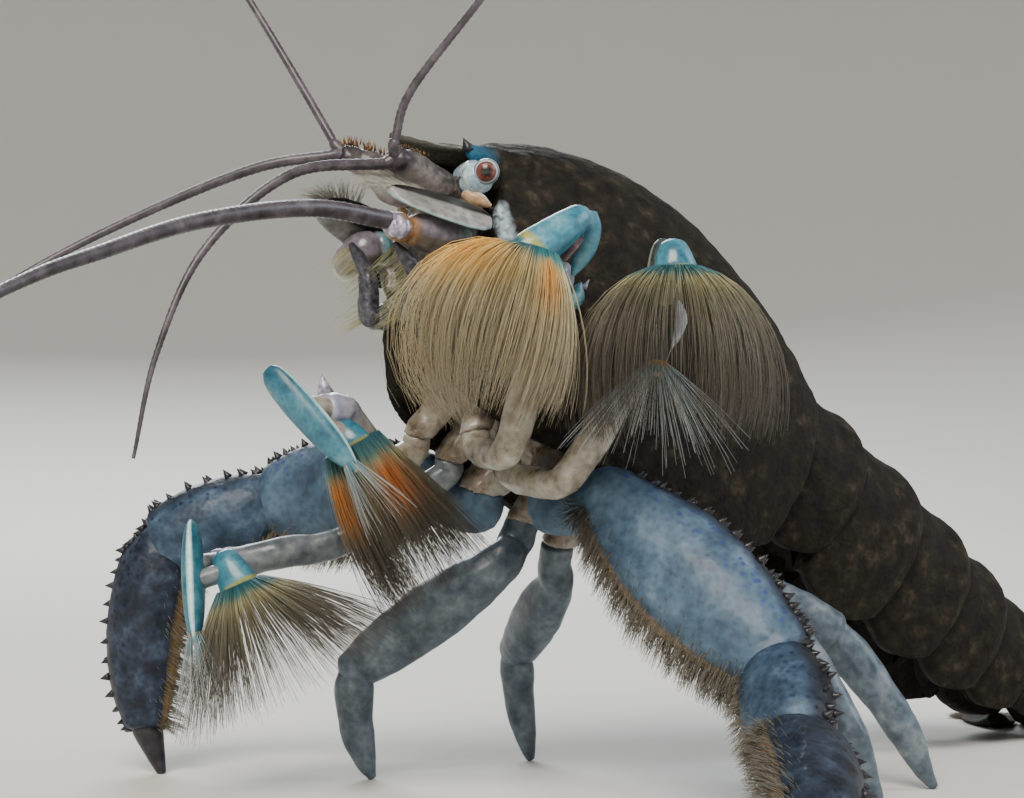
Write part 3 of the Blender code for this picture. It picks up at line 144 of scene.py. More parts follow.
# %% Colours and nodes
def colour(code):
    """A screen colour such as #A0B0C0 as linear values."""
    parts = [int(code[i : i + 2], 16) / 255 for i in (1, 3, 5)]
    linear = [c / 12.92 if c <= 0.04045 else ((c + 0.055) / 1.055) ** 2.4 for c in parts]
    return (*linear, 1.0)


# The output that leads on from a node, where that isn't its first one.
MAIN_OUTPUT = {
    "FunctionNodeRandomValue": 1, "ShaderNodeAttribute": 2, "ShaderNodeMix": 2, "ShaderNodeTexCoord": 3,
}


def feed(tree, node, feeds):
    """Gives each input its value, or links it to the node or socket that leads to it."""
    for key, value in feeds.items():
        if isinstance(value, bpy.types.Node):
            value = value.outputs[MAIN_OUTPUT.get(value.bl_idname, 0)]
        if isinstance(value, bpy.types.NodeSocket):
            tree.links.new(value, node.inputs[key])
        else:
            node.inputs[key].default_value = value


def add(tree, kind, feeds=None, stops=(), **settings):
    """Adds a node with its settings, the stops of its ramp and what feeds its inputs."""
    made = tree.nodes.new(kind)
    for key, value in settings.items():
        setattr(made, key, value)
    if stops:
        held = made.color_ramp.elements
        held.remove(held[1])
        held[0].position, held[0].color = stops[0]
        for place, value in stops[1:]:
            held.new(place).color = value
    feed(tree, made, feeds or {})
    return made


print("#808080 is", round(colour("#808080")[0], 3), "in linear light")

# %% [markdown]
# ## Floor and light
# Nothing should draw the eye from the animal, so the floor is one pale paper bowl: a disc, a
# quarter round and a wall, spun about the upright axis, because a plain plane's edge would show as
# a horizon line. Three soft square lights stand round it as in a small studio: a warm key, a cool
# fill, and one behind that parts the dark back from the wall.

# %% Floor and lights
FLOOR_RADIUS = 0.4
BOWL_RISE = 0.9
BOWL_TURN = 1.1
BOWL_SIDES = 96
BEND_STEPS = 24


def pale_floor():
    """A round floor that curves up into a wall all round, as a paper sweep does."""
    bend = np.linspace(0.0, math.pi / 2, BEND_STEPS)
    profile = [(0.0, 0.0), (FLOOR_RADIUS * 0.7, 0.0)]
    profile += [(FLOOR_RADIUS + BOWL_TURN * math.sin(a), BOWL_TURN * (1 - math.cos(a))) for a in bend]
    profile.append((FLOOR_RADIUS + BOWL_TURN, BOWL_TURN + BOWL_RISE))
    form = bmesh.new()
    corners = [form.verts.new((r, 0.0, z)) for r, z in profile]
    edges = [form.edges.new(pair) for pair in zip(corners, corners[1:])]
    bmesh.ops.spin(form, geom=corners + edges, axis=(0, 0, 1), cent=(0, 0, 0),
                   angle=2 * math.pi, steps=BOWL_SIDES, use_merge=True)
    bmesh.ops.remove_doubles(form, verts=form.verts, dist=1e-5)
    bmesh.ops.recalc_face_normals(form, faces=form.faces)
    bmesh.ops.reverse_faces(form, faces=form.faces)
    data = bpy.data.meshes.new("floor")
    form.to_mesh(data)
    form.free()
    data.shade_smooth()
    # Uncoated paper, rolled smooth: warm white and without any shine.
    paper = bpy.data.materials.new("matt_paper")
    paper.use_nodes = True
    tree = paper.node_tree
    feed(tree, tree.nodes["Principled BSDF"], {"Base Color": colour("#D9D8D2"), "Roughness": 0.9})
    data.materials.append(paper)
    return placed("floor", data)


pale_floor()

# Each light's place and size in metres, power in watts and colour.
LIGHTS = {
    "key": ((-0.42, -0.34, 0.52), 0.36, 7.5, "#FFF6EA"),
    "fill": ((0.46, -0.44, 0.42), 0.4, 2.5, "#E6F0FF"),
    "back": ((0.25, 0.55, 0.42), 0.34, 4.0, "#F4FAFF"),
}
CHEST = Vector((-0.005, 0.0, 0.03))
SKY, SKY_STRENGTH = "#E8ECEF", 0.45


def soft_light(name, place, size, power, tint):
    """A square area light aimed at the animal's chest."""
    data = bpy.data.lights.new(name, "AREA")
    data.size, data.energy, data.color = size, power, colour(tint)[:3]
    made = placed(name, data)
    made.location = place
    made.rotation_euler = (CHEST - Vector(place)).to_track_quat("-Z", "Y").to_euler()


for light_name, row in LIGHTS.items():
    soft_light(light_name, *row)
world = bpy.data.worlds.new("studio")
world.use_nodes = True
sky = world.node_tree.nodes["Background"]
feed(world.node_tree, sky, {"Color": colour(SKY), "Strength": SKY_STRENGTH})
bpy.context.scene.world = world
print("lights", list(LIGHTS))

# %% [markdown]
# ## Smooth forms from a few sizes
# A shrimp's limb is a row of hollow shells, each a tube that swells and narrows. It could be
# sculpted, but a loft says what is measured: where the axis runs and how deep and wide the shell
# is there. A cubic curve through the few measured places makes it smooth.

# %% Curves
def spline(points, count):
    """count points on a cubic curve through the rows of points."""
    p = np.asarray(points, float)
    p = np.vstack((2 * p[0] - p[1], p, 2 * p[-1] - p[-2]))
    place = np.linspace(0.0, len(p) - 3.0, count)
    i = np.minimum(place.astype(int), len(p) - 4)
    t = (place - i)[:, None]
    a, b, c, d = p[i], p[i + 1], p[i + 2], p[i + 3]
    return 0.5 * (
        2 * b + (c - a) * t + (2 * a - 5 * b + 4 * c - d) * t**2 + (3 * b - a - 3 * c + d) * t**3
    )


def curve(stops, x):
    """A smooth curve through (place, value) stops, read at x."""
    at, value = np.array(stops, float).T
    slope = np.gradient(value, at)
    x = np.clip(x, at[0], at[-1])
    i = np.clip(np.searchsorted(at, x) - 1, 0, len(at) - 2)
    span = at[i + 1] - at[i]
    t = (x - at[i]) / span
    from_here = (2 * t**3 - 3 * t**2 + 1) * value[i] + (t**3 - 2 * t**2 + t) * span * slope[i]
    from_next = (3 * t**2 - 2 * t**3) * value[i + 1] + (t**3 - t**2) * span * slope[i + 1]
    return from_here + from_next


def read_rows(table, place):
    """The rows of a table at places that are counted in rows and may lie between them."""
    return np.stack([np.interp(place, np.arange(len(table)), column) for column in table.T], 1)


print("a curve through three places has", len(spline(((0, 0), (1, 1), (2, 0)), 30)), "points")

# %% [markdown]
# ## Tubes
# Every limb, feeler and lobe is a tube of rings, closed by a short dome at each end as a limb's
# shells are. A modifier could loft them too, but here the rings stay at hand: a spine or a hair
# can ask for its place on the surface and for the way out of it.

# %% Tubes
# The angles on a dome's quarter circle at which its rings lie, from the pole to the tube.
DOME = np.linspace(1.35, 0.15, 6)
THINNEST = 0.02


class Tube:
    """Rings of points round a smooth path, with its axis, its directions and its sizes."""

    def __init__(self, path, sizes, up=UP, sides=40, step=0.3, ends=(0.5, 0.5)):
        path, sizes = np.asarray(path, float), np.asarray(sizes, float)
        length = np.linalg.norm(np.diff(path, axis=0), axis=1).sum()
        table = spline(np.hstack((path, sizes)), max(8, int(length / step)))
        axis, depth, width = table[:, :3], table[:, 3], table[:, 4]
        way = unit(np.gradient(axis, axis=0))
        for end, turn in ((0, -1.0), (-1, 1.0)):
            angles = DOME if end == 0 else DOME[::-1]
            reach = min(depth[end], width[end]) * ends[end]
            dome = (
                axis[end] + np.outer(np.sin(angles), way[end] * turn * reach),
                np.repeat(way[end][None], len(angles), 0),
                np.cos(angles) * depth[end], np.cos(angles) * width[end],
            )
            body_rows = (axis, way, depth, width)
            pairs = zip(dome, body_rows) if end == 0 else zip(body_rows, dome)
            axis, way, depth, width = (np.concatenate(pair) for pair in pairs)
        high = unit(np.asarray(up) - way * (way @ np.asarray(up))[:, None])
        self.axis, self.way, self.high, self.wide = axis, way, high, np.cross(way, high)
        self.depth, self.width = np.maximum(depth, THINNEST), np.maximum(width, THINNEST)
        self.angles = np.linspace(0.0, 2 * math.pi, sides, endpoint=False)
        self.rings = self.surface(self.angles)
        self.along = np.linspace(0.0, 1.0, len(axis))

    def surface(self, angles):
        """The points at each ring and angle, where angle 0 is the side that faces up."""
        high = self.high[:, None] * (self.depth[:, None] * np.cos(angles))[..., None]
        wide = self.wide[:, None] * (self.width[:, None] * np.sin(angles))[..., None]
        return self.axis[:, None] + high + wide

    def row(self, angle, place):
        """Points, outward directions and the way along the surface at one angle and each place."""
        line = self.surface(np.array([angle]))[:, 0]
        out = unit(line - self.axis)
        place = place * (len(self.axis) - 1)
        return read_rows(line, place), unit(read_rows(out, place)), unit(read_rows(self.way, place))

    def around(self, values):
        """One value for each point, alike on every ring, and 0 at the two poles."""
        return np.append(np.tile(values, len(self.axis)), (0.0, 0.0))


def row_tube(rows, **settings):
    """A tube from rows of x, y, z, half depth and half width."""
    table = np.array(rows, float)
    return Tube(table[:, :3], table[:, 3:], **settings)


def rows_between(start, end, table):
    """Rows for a tube from start to end; table holds shares of the way and the sizes there."""
    return [(*(start + (end - start) * t), *sizes) for t, *sizes in table]


print("a plain tube has rings of", row_tube(((0, 0, 0, 1, 1), (9, 0, 0, 1, 1))).rings.shape)

# %% [markdown]
# ## From rings to a mesh
# The rings become quads, and a fan of triangles closes each end on a pole. Only here do points
# take their packed place in metres. Values such as how far along a limb a point lies go with the
# mesh, for the finish to read. Shells aren't machined, so soft noise pushes their rings in and out
# a little.

# %% Meshes
def grid_faces(rings, sides):
    """Quads between rings, and a fan to the pole added after the points at each end."""
    k = np.arange(rings - 1)[:, None] * sides
    i = np.arange(sides)[None]
    j = (i + 1) % sides
    quads = np.stack((k + i, k + j, k + sides + j, k + sides + i), -1).reshape(-1, 4).tolist()
    first, last = rings * sides, rings * sides + 1
    top = (rings - 1) * sides
    fans = [(first, (a + 1) % sides, a) for a in range(sides)]
    fans += [(last, top + a, top + (a + 1) % sides) for a in range(sides)]
    return quads + fans


def mark(piece, **values):
    """Stores named values, one for each point, for the finish to read."""
    for key, value in values.items():
        held = piece.data.attributes.new(key, "FLOAT", "POINT")
        held.data.foreach_set("value", np.asarray(value, np.float32))


def mesh_object(name, points, faces, material=None, marks=None, edges=()):
    """A mesh from points in the body's frame; marks are named values, one for each point."""
    data = bpy.data.meshes.new(name)
    data.from_pydata(((np.asarray(points) + ORIGIN) * METRES).tolist(), list(edges), faces)
    if material:
        data.materials.append(material)
    if faces:
        form = bmesh.new()
        form.from_mesh(data)
        bmesh.ops.recalc_face_normals(form, faces=form.faces)
        form.to_mesh(data)
        form.free()
        data.shade_smooth()
    made = placed(name, data)
    mark(made, **(marks or {}))
    return made


def tube_object(name, tube, material, rings=None):
    """The mesh of a tube, with how far along it each point lies."""
    rings = tube.rings if rings is None else rings
    count, sides = rings.shape[:2]
    points = np.vstack((rings.reshape(-1, 3), rings[0].mean(0), rings[-1].mean(0)))
    along = np.concatenate((np.repeat(tube.along, sides), (0.0, 1.0)))
    return mesh_object(name, points, grid_faces(count, sides), material, {"along": along})


def grain(points, size, seed=0.0):
    """Soft noise from -1 to 1 at each point, with lumps of about that size in mm."""
    flat = np.asarray(points).reshape(-1, 3) / size + seed
    found = np.array([noise.noise(Vector(p)) for p in flat.tolist()])
    return found.reshape(np.asarray(points).shape[:-1])


def roughened(tube, amount, size):
    """A tube's rings with shallow lumps pushed in and out."""
    out = unit(tube.rings - tube.axis[:, None])
    return tube.rings + out * (grain(tube.rings, size) * amount)[..., None]


def grooved(tube, rings, depth, width, places):
    """Rings drawn in at the places along a tube where two joints of a limb meet."""
    pinch = 1.0 - depth * sum(np.exp(-(((tube.along - at) / width) ** 2)) for at in places)
    return tube.axis[:, None] + (rings - tube.axis[:, None]) * pinch[:, None, None]


def dress(piece, slot, *nodes):
    """Says what the piece rides on and hides the solids that it stands for; slot is not used."""
    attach(piece, "root")
    if nodes:
        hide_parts(*nodes)
    return piece


print("soft noise at one point:", round(float(grain(vec(0.5, 0.5, 0.5), 1.0)), 3))

# %% [markdown]
# ## Growing bristles, thorns and feelers
# Setae, spines and feelers repeat by the thousand, which is work for Geometry Nodes. A carrier
# mesh holds only where each one runs or stands. One tree sweeps a tapered tube along every line,
# one stands a small cone on every point, and one gives a feeler its rings. Each ends in real faces
# with a material, because instances are lost in an export.

# %% Geometry trees
def tree_with(name, sockets):
    """An empty geometry tree with named inputs, and the sockets that give them."""
    tree = bpy.data.node_groups.new(name, "GeometryNodeTree")
    tree.interface.new_socket("Geometry", in_out="INPUT", socket_type="NodeSocketGeometry")
    for key, (kind, value) in sockets.items():
        made = tree.interface.new_socket(key, in_out="INPUT", socket_type=f"NodeSocket{kind}")
        if value is not None:
            made.default_value = value
    tree.interface.new_socket("Geometry", in_out="OUTPUT", socket_type="NodeSocketGeometry")
    return tree, tree.nodes.new("NodeGroupInput").outputs


def close_tree(tree, shape, material):
    """Ends a tree in real faces, smooth and with their material."""
    real = add(tree, "GeometryNodeRealizeInstances", {"Geometry": shape})
    soft = add(tree, "GeometryNodeSetShadeSmooth", {"Geometry": real})
    coated = add(tree, "GeometryNodeSetMaterial", {"Geometry": soft, "Material": material})
    add(tree, "NodeGroupOutput", {"Geometry": coated})
    return tree


# A bristle's section has as few sides as it can, because there are thousands of them.
BRISTLE_SIDES = 3


def bristle_tree():
    """Sweeps a thin tapered tube along each line of the carrier."""
    tree, given = tree_with("bristles", {
        "Thickness": ("Float", 0.00003), "Tip": ("Float", 0.25), "Material": ("Material", None),
    })
    lines = add(tree, "GeometryNodeMeshToCurve", {"Mesh": given["Geometry"]})
    place = add(tree, "GeometryNodeSplineParameter")
    taper = add(tree, "ShaderNodeMapRange", {"Value": place, 3: 1.0, 4: given["Tip"]})
    size = add(tree, "ShaderNodeMath", {0: taper, 1: given["Thickness"]}, operation="MULTIPLY")
    section = add(tree, "GeometryNodeCurvePrimitiveCircle", {"Resolution": BRISTLE_SIDES, "Radius": 1.0})
    swept = add(tree, "GeometryNodeCurveToMesh", {
        "Curve": lines, "Profile Curve": section, "Scale": size, "Fill Caps": True,
    })
    return close_tree(tree, swept, given["Material"])


def thorn_tree():
    """Stands a cone on each point of the carrier, turned to its lean, each a little different."""
    tree, given = tree_with("thorns", {
        "Length": ("Float", 0.001), "Radius": ("Float", 0.0003), "Seed": ("Int", SEED),
        "Material": ("Material", None),
    })
    cone = add(tree, "GeometryNodeMeshCone", {
        "Vertices": 8, "Side Segments": 3, "Radius Bottom": given["Radius"], "Depth": given["Length"],
    })
    lean = add(tree, "GeometryNodeInputNamedAttribute", {"Name": "lean"}, data_type="FLOAT_VECTOR")
    turn = add(tree, "FunctionNodeAlignRotationToVector", {"Vector": lean}, axis="Z")
    vary = add(tree, "FunctionNodeRandomValue", {2: 0.8, 3: 1.15, "Seed": given["Seed"]}, data_type="FLOAT")
    stood = add(tree, "GeometryNodeInstanceOnPoints", {
        "Points": given["Geometry"], "Instance": cone, "Rotation": turn, "Scale": vary,
    })
    return close_tree(tree, stood, given["Material"])


def feeler_tree():
    """Sweeps a feeler along the carrier's line: a taper broken into short rings."""
    tree, given = tree_with("ringed_feeler", {
        "Thick": ("Float", 0.0005), "Thin": ("Float", 0.0001), "Ring": ("Float", 0.0006),
        "Swell": ("Float", 0.12), "Material": ("Material", None),
    })
    line = add(tree, "GeometryNodeMeshToCurve", {"Mesh": given["Geometry"]})
    half = add(tree, "ShaderNodeMath", {0: given["Ring"], 1: 0.5}, operation="MULTIPLY")
    even = add(tree, "GeometryNodeResampleCurve", {"Curve": line, "Length": half}, mode="LENGTH")
    place = add(tree, "GeometryNodeSplineParameter")
    bent = add(tree, "ShaderNodeMath", {0: place, 1: 1.25}, operation="POWER")
    taper = add(tree, "ShaderNodeMapRange", {"Value": bent, 3: given["Thick"], 4: given["Thin"]})
    odd = add(tree, "ShaderNodeMath", {0: place.outputs["Index"], 1: 2.0}, operation="MODULO")
    rise = add(tree, "ShaderNodeMath", {0: odd, 1: given["Swell"], 2: 1.0}, operation="MULTIPLY_ADD")
    size = add(tree, "ShaderNodeMath", {0: taper, 1: rise}, operation="MULTIPLY")
    kept = add(tree, "GeometryNodeStoreNamedAttribute", {
        "Geometry": even, "Name": "along", "Value": place,
    }, data_type="FLOAT", domain="POINT")
    section = add(tree, "GeometryNodeCurvePrimitiveCircle", {"Resolution": 10, "Radius": 1.0})
    swept = add(tree, "GeometryNodeCurveToMesh", {
        "Curve": kept, "Profile Curve": section, "Scale": size, "Fill Caps": True,
    })
    return close_tree(tree, swept, given["Material"])


BRISTLES, THORNS, FEELERS = bristle_tree(), thorn_tree(), feeler_tree()
print("trees", [tree.name for tree in bpy.data.node_groups])

# %% [markdown]
# ## Running a tree
# A live tree is lost in an export, so each carrier is grown at once: the tree runs, its result is
# kept as a plain mesh, and the modifier goes. Each bristle gets a small patch of the unwrap at its
# root's place on the skin, so that a baked picture keeps its own colours.

# %% Growing
# The side of one bristle's patch, as a share of the unwrap.
PATCH = 0.003
FEELER_POINTS = 90


def settled(piece):
    """Runs a piece's modifiers and keeps the plain mesh that they make."""
    graph = bpy.context.evaluated_depsgraph_get()
    graph.update()
    made = bpy.data.meshes.new_from_object(piece.evaluated_get(graph))
    piece.modifiers.clear()
    before, piece.data = piece.data, made
    bpy.data.meshes.remove(before)
    return piece


def grow(holder, tree, values):
    """Runs a tree on a carrier and leaves the plain mesh that it makes."""
    change = holder.modifiers.new("grow", "NODES")
    change.node_group = tree
    for socket in tree.interface.items_tree:
        if socket.name in values:
            change[socket.identifier] = values[socket.name]
    return settled(holder)


def bristles(name, lines, material, thickness, roots, tip=0.25, marks=None):
    """A coat of bristles along lines (bristle, point, xyz), each with a bake patch at its root."""
    count, steps = lines.shape[:2]
    first = np.arange(count)[:, None] * steps + np.arange(steps - 1)[None]
    edges = np.stack((first, first + 1), -1).reshape(-1, 2).tolist()
    told = {
        "along": np.tile(np.linspace(0.0, 1.0, steps), count),
        "tone": np.repeat(rng.random(count), steps),
        "root_u": np.repeat(roots[:, 0], steps), "root_v": np.repeat(roots[:, 1], steps),
    }
    told |= {key: np.repeat(values, steps) for key, values in (marks or {}).items()}
    carrier = mesh_object(name, lines.reshape(-1, 3), [], marks=told, edges=edges)
    made = grow(carrier, BRISTLES, {
        "Thickness": thickness * METRES, "Tip": tip, "Material": material,
    })
    bake_patches(made.data)
    return made


def bake_patches(data):
    """Gives each bristle a small patch of the unwrap, at its root's place on the skin."""
    number = len(data.vertices)
    read = {}
    for key in ("root_u", "root_v", "along"):
        read[key] = np.zeros(number, np.float32)
        data.attributes[key].data.foreach_get("value", read[key])
    corners = np.zeros(len(data.loops), np.int32)
    data.loops.foreach_get("vertex_index", corners)
    side = (corners % BRISTLE_SIDES) / BRISTLE_SIDES
    u = read["root_u"][corners] * (1 - PATCH) + side * PATCH
    v = read["root_v"][corners] * (1 - PATCH) + read["along"][corners] * PATCH
    layer = data.uv_layers.new(name="OFBake")
    layer.data.foreach_set("uv", np.stack((u, v), 1).astype(np.float32).ravel())


def thorns(name, points, lean, material, length, radius):
    """Small cones that stand on points, each turned to its lean."""
    holder = mesh_object(name, points, [])
    held = holder.data.attributes.new("lean", "FLOAT_VECTOR", "POINT")
    held.data.foreach_set("vector", np.asarray(lean, np.float32).ravel())
    return grow(holder, THORNS, {
        "Length": length * METRES, "Radius": radius * METRES, "Seed": SEED, "Material": material,
    })


def spike(name, foot, way, material, length, radius, slot):
    """One thorn on its own, dressed."""
    return dress(thorns(name, vec(*foot)[None], vec(*way)[None], material, length, radius), slot)


def drooping(foot, aim, reach, steps, sag):
    """Lines of hairs that leave their feet along aim and hang a little toward their ends."""
    t = np.linspace(0.0, 1.0, steps)
    return np.stack([foot + aim * reach * k - UP * sag * k * k for k in t], 1)


def feeler(name, route, material, thick, thin, ring, swell=0.12):
    """A feeler along a smooth route, its rings as short as the real ones show."""
    line = spline(route, FEELER_POINTS)
    edges = [(k, k + 1) for k in range(len(line) - 1)]
    return grow(mesh_object(name, line, [], edges=edges), FEELERS, {
        "Thick": thick * METRES, "Thin": thin * METRES, "Ring": ring * METRES,
        "Swell": swell, "Material": material,
    })


print("a bristle's patch is", PATCH, "of the unwrap")

# %% [markdown]
# ## Chitin
# A shrimp's shell is chitin hardened with lime: hard, of about the gloss of horn, coloured in
# cloudy patches and set with fine pits. One function gives all shells that make-up, and each shell
# has its own tones, pit size and gloss.

# %% Shell finishes
def per_mm(size):
    """The texture scale whose lumps are about size mm across."""
    return 1.0 / (size * METRES)


def finish_start(name):
    """A new material with its tree and its shader; chitin's index of refraction is 1.55."""
    made = bpy.data.materials.new(name)
    made.use_nodes = True
    shader = made.node_tree.nodes["Principled BSDF"]
    shader.inputs["IOR"].default_value = 1.55
    return made, made.node_tree, shader


# The noise values between which a finish goes through its tones, and a spot from rim to core.
TONE_LOW, TONE_HIGH = 0.3, 0.7
SPOT_RIM, SPOT_CORE = 0.38, 0.18


def shell_finish(name, tones, mottle, pits, depth, rough, spots=None, bands=(), coat=0.0, gloss=0.4):
    """Chitin in clouds of tones, with pits.

    mottle, pits and depth are in mm. spots holds a colour, the spots' spacing in mm and the band of
    a named value that has them; each of bands mixes one more colour in over a range of a named value.
    """
    made, tree, shader = finish_start(name)
    place = add(tree, "ShaderNodeTexCoord")
    clouds = add(tree, "ShaderNodeTexNoise", {
        "Vector": place, "Scale": per_mm(mottle), "Detail": 6.0, "Roughness": 0.62,
    })
    steps = np.linspace(TONE_LOW, TONE_HIGH, len(tones))
    stops = [(float(at), colour(tone)) for at, tone in zip(steps, tones)]
    tint = add(tree, "ShaderNodeValToRGB", {"Fac": clouds}, stops=stops)
    if spots:
        code, spacing, (key, low, high) = spots
        dots = add(tree, "ShaderNodeTexVoronoi", {"Vector": place, "Scale": per_mm(spacing)})
        near = add(tree, "ShaderNodeMapRange", {"Value": dots, 1: SPOT_RIM, 2: SPOT_CORE})
        value = add(tree, "ShaderNodeAttribute", attribute_name=key)
        zone = add(tree, "ShaderNodeMapRange", {"Value": value, 1: low, 2: high})
        share = add(tree, "ShaderNodeMath", {0: near, 1: zone}, operation="MULTIPLY")
        tint = add(tree, "ShaderNodeMix", {0: share, 6: tint, 7: colour(code)}, data_type="RGBA")
    for key, low, high, code in bands:
        value = add(tree, "ShaderNodeAttribute", attribute_name=key)
        share = add(tree, "ShaderNodeMapRange", {"Value": value, 1: low, 2: high})
        tint = add(tree, "ShaderNodeMix", {0: share, 6: tint, 7: colour(code)}, data_type="RGBA")
    fine = add(tree, "ShaderNodeTexVoronoi", {"Vector": place, "Scale": per_mm(pits)}, feature="SMOOTH_F1")
    speck = add(tree, "ShaderNodeMapRange", {"Value": fine, 1: 0.1, 2: 0.6, 3: 0.8, 4: 1.1})
    tint = add(tree, "ShaderNodeMix", {0: 1.0, 6: tint, 7: speck}, data_type="RGBA", blend_type="MULTIPLY")
    relief = add(tree, "ShaderNodeBump", {"Height": fine, "Distance": depth * METRES, "Strength": 0.6})
    coarse = add(tree, "ShaderNodeBump", {
        "Height": clouds, "Distance": depth * 2 * METRES, "Strength": 0.5, "Normal": relief,
    })
    dull = add(tree, "ShaderNodeMapRange", {
        "Value": clouds, 1: TONE_LOW, 2: TONE_HIGH, 3: rough - 0.08, 4: rough + 0.1,
    })
    feed(tree, shader, {
        "Base Color": tint, "Normal": coarse, "Roughness": dull, "Specular IOR Level": gloss,
        "Coat Weight": coat, "Coat Roughness": 0.12,
    })
    return made


print("a 1.5 mm pattern has the scale", round(per_mm(1.5), 1))

# %% [markdown]
# ## The body's and the legs' finishes
# The back is dull and nearly black, the legs are slate blue with a dark ridge, the arms show the
# flesh through a thin whitish shell, and the fans' blades are clear turquoise. Each takes its tones
# from the photo; the bands follow values that the pieces carry, such as the side that faces up.

# %% Body and leg finishes
# Carapace chitin: thick, dark grey-brown, rough to the eye with pale scuffs.
BROWN_CHITIN = shell_finish(
    "carapace_chitin", ("#0B0A08", "#16130F", "#221E18", "#3B352B"), 1.5, 0.4, 0.16, 0.7, gloss=0.12,
    bands=(
        ("blue", 0.15, 0.8, "#2F6C8C"), ("olive", 0.1, 0.9, "#4C4B41"),
        ("pale", 0.2, 0.8, "#A9B9C4"),
    ),
)
# Leg chitin: slate blue, cloudy, with small violet-blue spots toward the spiny edge and a tan line
# along the hairy one.
BLUE_CHITIN = shell_finish(
    "leg_chitin", ("#2B3B4A", "#3B5064", "#4C6377", "#677B8E"), 3.4, 0.5, 0.08, 0.5, gloss=0.25,
    spots=("#333F78", 0.75, ("side", 0.25, 0.8)), coat=0.08,
    bands=(("side", -0.84, -0.96, "#9E7F5A"), ("side", 0.8, 0.97, "#181B2A")),
)
# Carpus chitin: the same slate a step darker, partly its own tone and partly painted shade, one tone for
# both carpi; a near black ridge where its spines stand.
CARPUS_CHITIN = shell_finish(
    "carpus_chitin", ("#1B2836", "#2A3B4E", "#3A4E63", "#566A7D"), 2.6, 0.45, 0.08, 0.48, gloss=0.22,
    spots=("#1B2142", 0.7, ("side", 0.1, 0.7)), coat=0.08,
    bands=(("side", -0.86, -0.97, "#80643A"), ("side", 0.7, 0.95, "#0E0F18")),
)
# Leg end chitin: dark indigo, nearly black above, amber along the hairy edge.
DARK_CHITIN = shell_finish(
    "leg_end_chitin", ("#0E1118", "#1A212E", "#283243", "#3D4A5C"), 1.8, 0.45, 0.08, 0.46, gloss=0.2,
    spots=("#0D1022", 0.7, ("side", -0.4, 0.6)), coat=0.1,
    bands=(("side", -0.86, -0.97, "#80643A"), ("side", 0.72, 0.95, "#0D0D15")),
)
# Sternum chitin: thin, whitish and glossy, so the flesh under it lends a warm grey.
PALE_CHITIN = shell_finish(
    "sternum_chitin", ("#57493A", "#7D7060", "#A0978A", "#9AA2A8"), 1.6, 0.6, 0.05, 0.3, coat=0.4,
)
# Arm chitin: the same thin shell, whiter and bluish toward the wrist.
ARM_CHITIN = shell_finish(
    "arm_chitin", ("#665B4B", "#8F8574", "#A9A295", "#B2B1AA"), 1.8, 0.6, 0.05, 0.32, coat=0.35,
    bands=(("along", 0.6, 0.9, "#9C9FB4"),),
)
# Shaded arm chitin: the same thin arm shell, darkened to slate as painted shade for the hindmost arm,
# violet at the wrist.
SHADED_ARM_CHITIN = shell_finish(
    "shaded_arm_chitin", ("#3A3F44", "#545B61", "#6C7378", "#878B8D"), 1.8, 0.6, 0.05, 0.36, coat=0.25,
    bands=(("along", 0.75, 0.95, "#77718C"),),
)
# Fan blade chitin: clear turquoise with pale edges and a golden tip, as smooth as a fingernail.
TURQUOISE_CHITIN = shell_finish(
    "blade_chitin", ("#17485A", "#245D70", "#3A7183", "#5B8B97"), 2.6, 0.35, 0.02, 0.42, coat=0.1,
    bands=(("rim", 0.93, 1.0, "#B9DCE0"), ("along", 0.9, 0.96, "#D9A441")),
)
# Spine chitin: near black and hard, paler only where light grazes it.
THORN_CHITIN = shell_finish("spine_chitin", ("#0E0D11", "#1D1B22", "#34303A"), 1.0, 0.3, 0.02, 0.35)
print("finishes", [m.name for m in bpy.data.materials])

# %% [markdown]
# ## The carapace's measured lines
# One rounded shell covers head and thorax and runs out in a short rostrum with a tooth on each
# side. It could be sculpted, but its top line, half width and lower margin along the body are what
# was measured, so each of its rings is read from those three lines.

# %% Carapace sizes
TOP = ((0, 17.7), (4.4, 20.6), (11, 23.4), (17, 24.5), (25, 24.2), (32, 22.8), (38, 20.6))
HALF_WIDTH = ((0, 6.6), (4, 8.0), (10, 10.2), (20, 11.8), (32, 11.2), (38, 10.4))
LOW = ((0, 0.5), (3, -2.2), (8, -3.2), (16, -2.6), (28, -1.8), (34, -0.4), (38, 2.5))
TAPER = ((0, 0.36), (6, 0.3), (14, 0.2), (24, 0.14), (38, 0.12))
WIDEST_H = 9.0
CEILING = 1.6
MARGIN_WALL = 1.4
ORBIT_H = 17.7
FRONT_SLANT = 0.17
LEAN_FADE = 20.0
CARAPACE_LENGTH = 38.0
ROSTRUM = (
    (2.0, 0.0, 51.2, 1.0, 4.2), (-3.5, 0.0, 51.7, 0.9, 4.4), (-8.6, 0.0, 51.9, 0.6, 2.6),
    (-12.0, 0.0, 52.4, 0.5, 1.2), (-14.2, 0.0, 53.0, 0.32, 0.4),
)
KEEL = (
    (6.0, 0.0, 52.2, 0.4, 0.6), (0.0, 0.0, 52.7, 0.5, 0.5), (-6.0, 0.0, 52.5, 0.4, 0.4),
    (-11.5, 0.0, 52.5, 0.25, 0.25),
)
SIDE_TOOTH = (
    (-4.0, 4.6, 50.8, 0.9, 1.1), (-7.4, 3.7, 51.3, 0.95, 0.9), (-8.9, 3.6, 51.8, 0.7, 0.7),
    (-9.4, 3.6, 52.5, 0.2, 0.22),
)
# Where the black tips of a side tooth and of the rostrum stand, and which way they point.
TOOTH_TIP = ((-9.1, -3.6, 51.8), (-0.5, 0.0, 0.85))
SNOUT_TIP = ((-13.1, 0.0, 52.5), (-0.97, 0.0, 0.2))
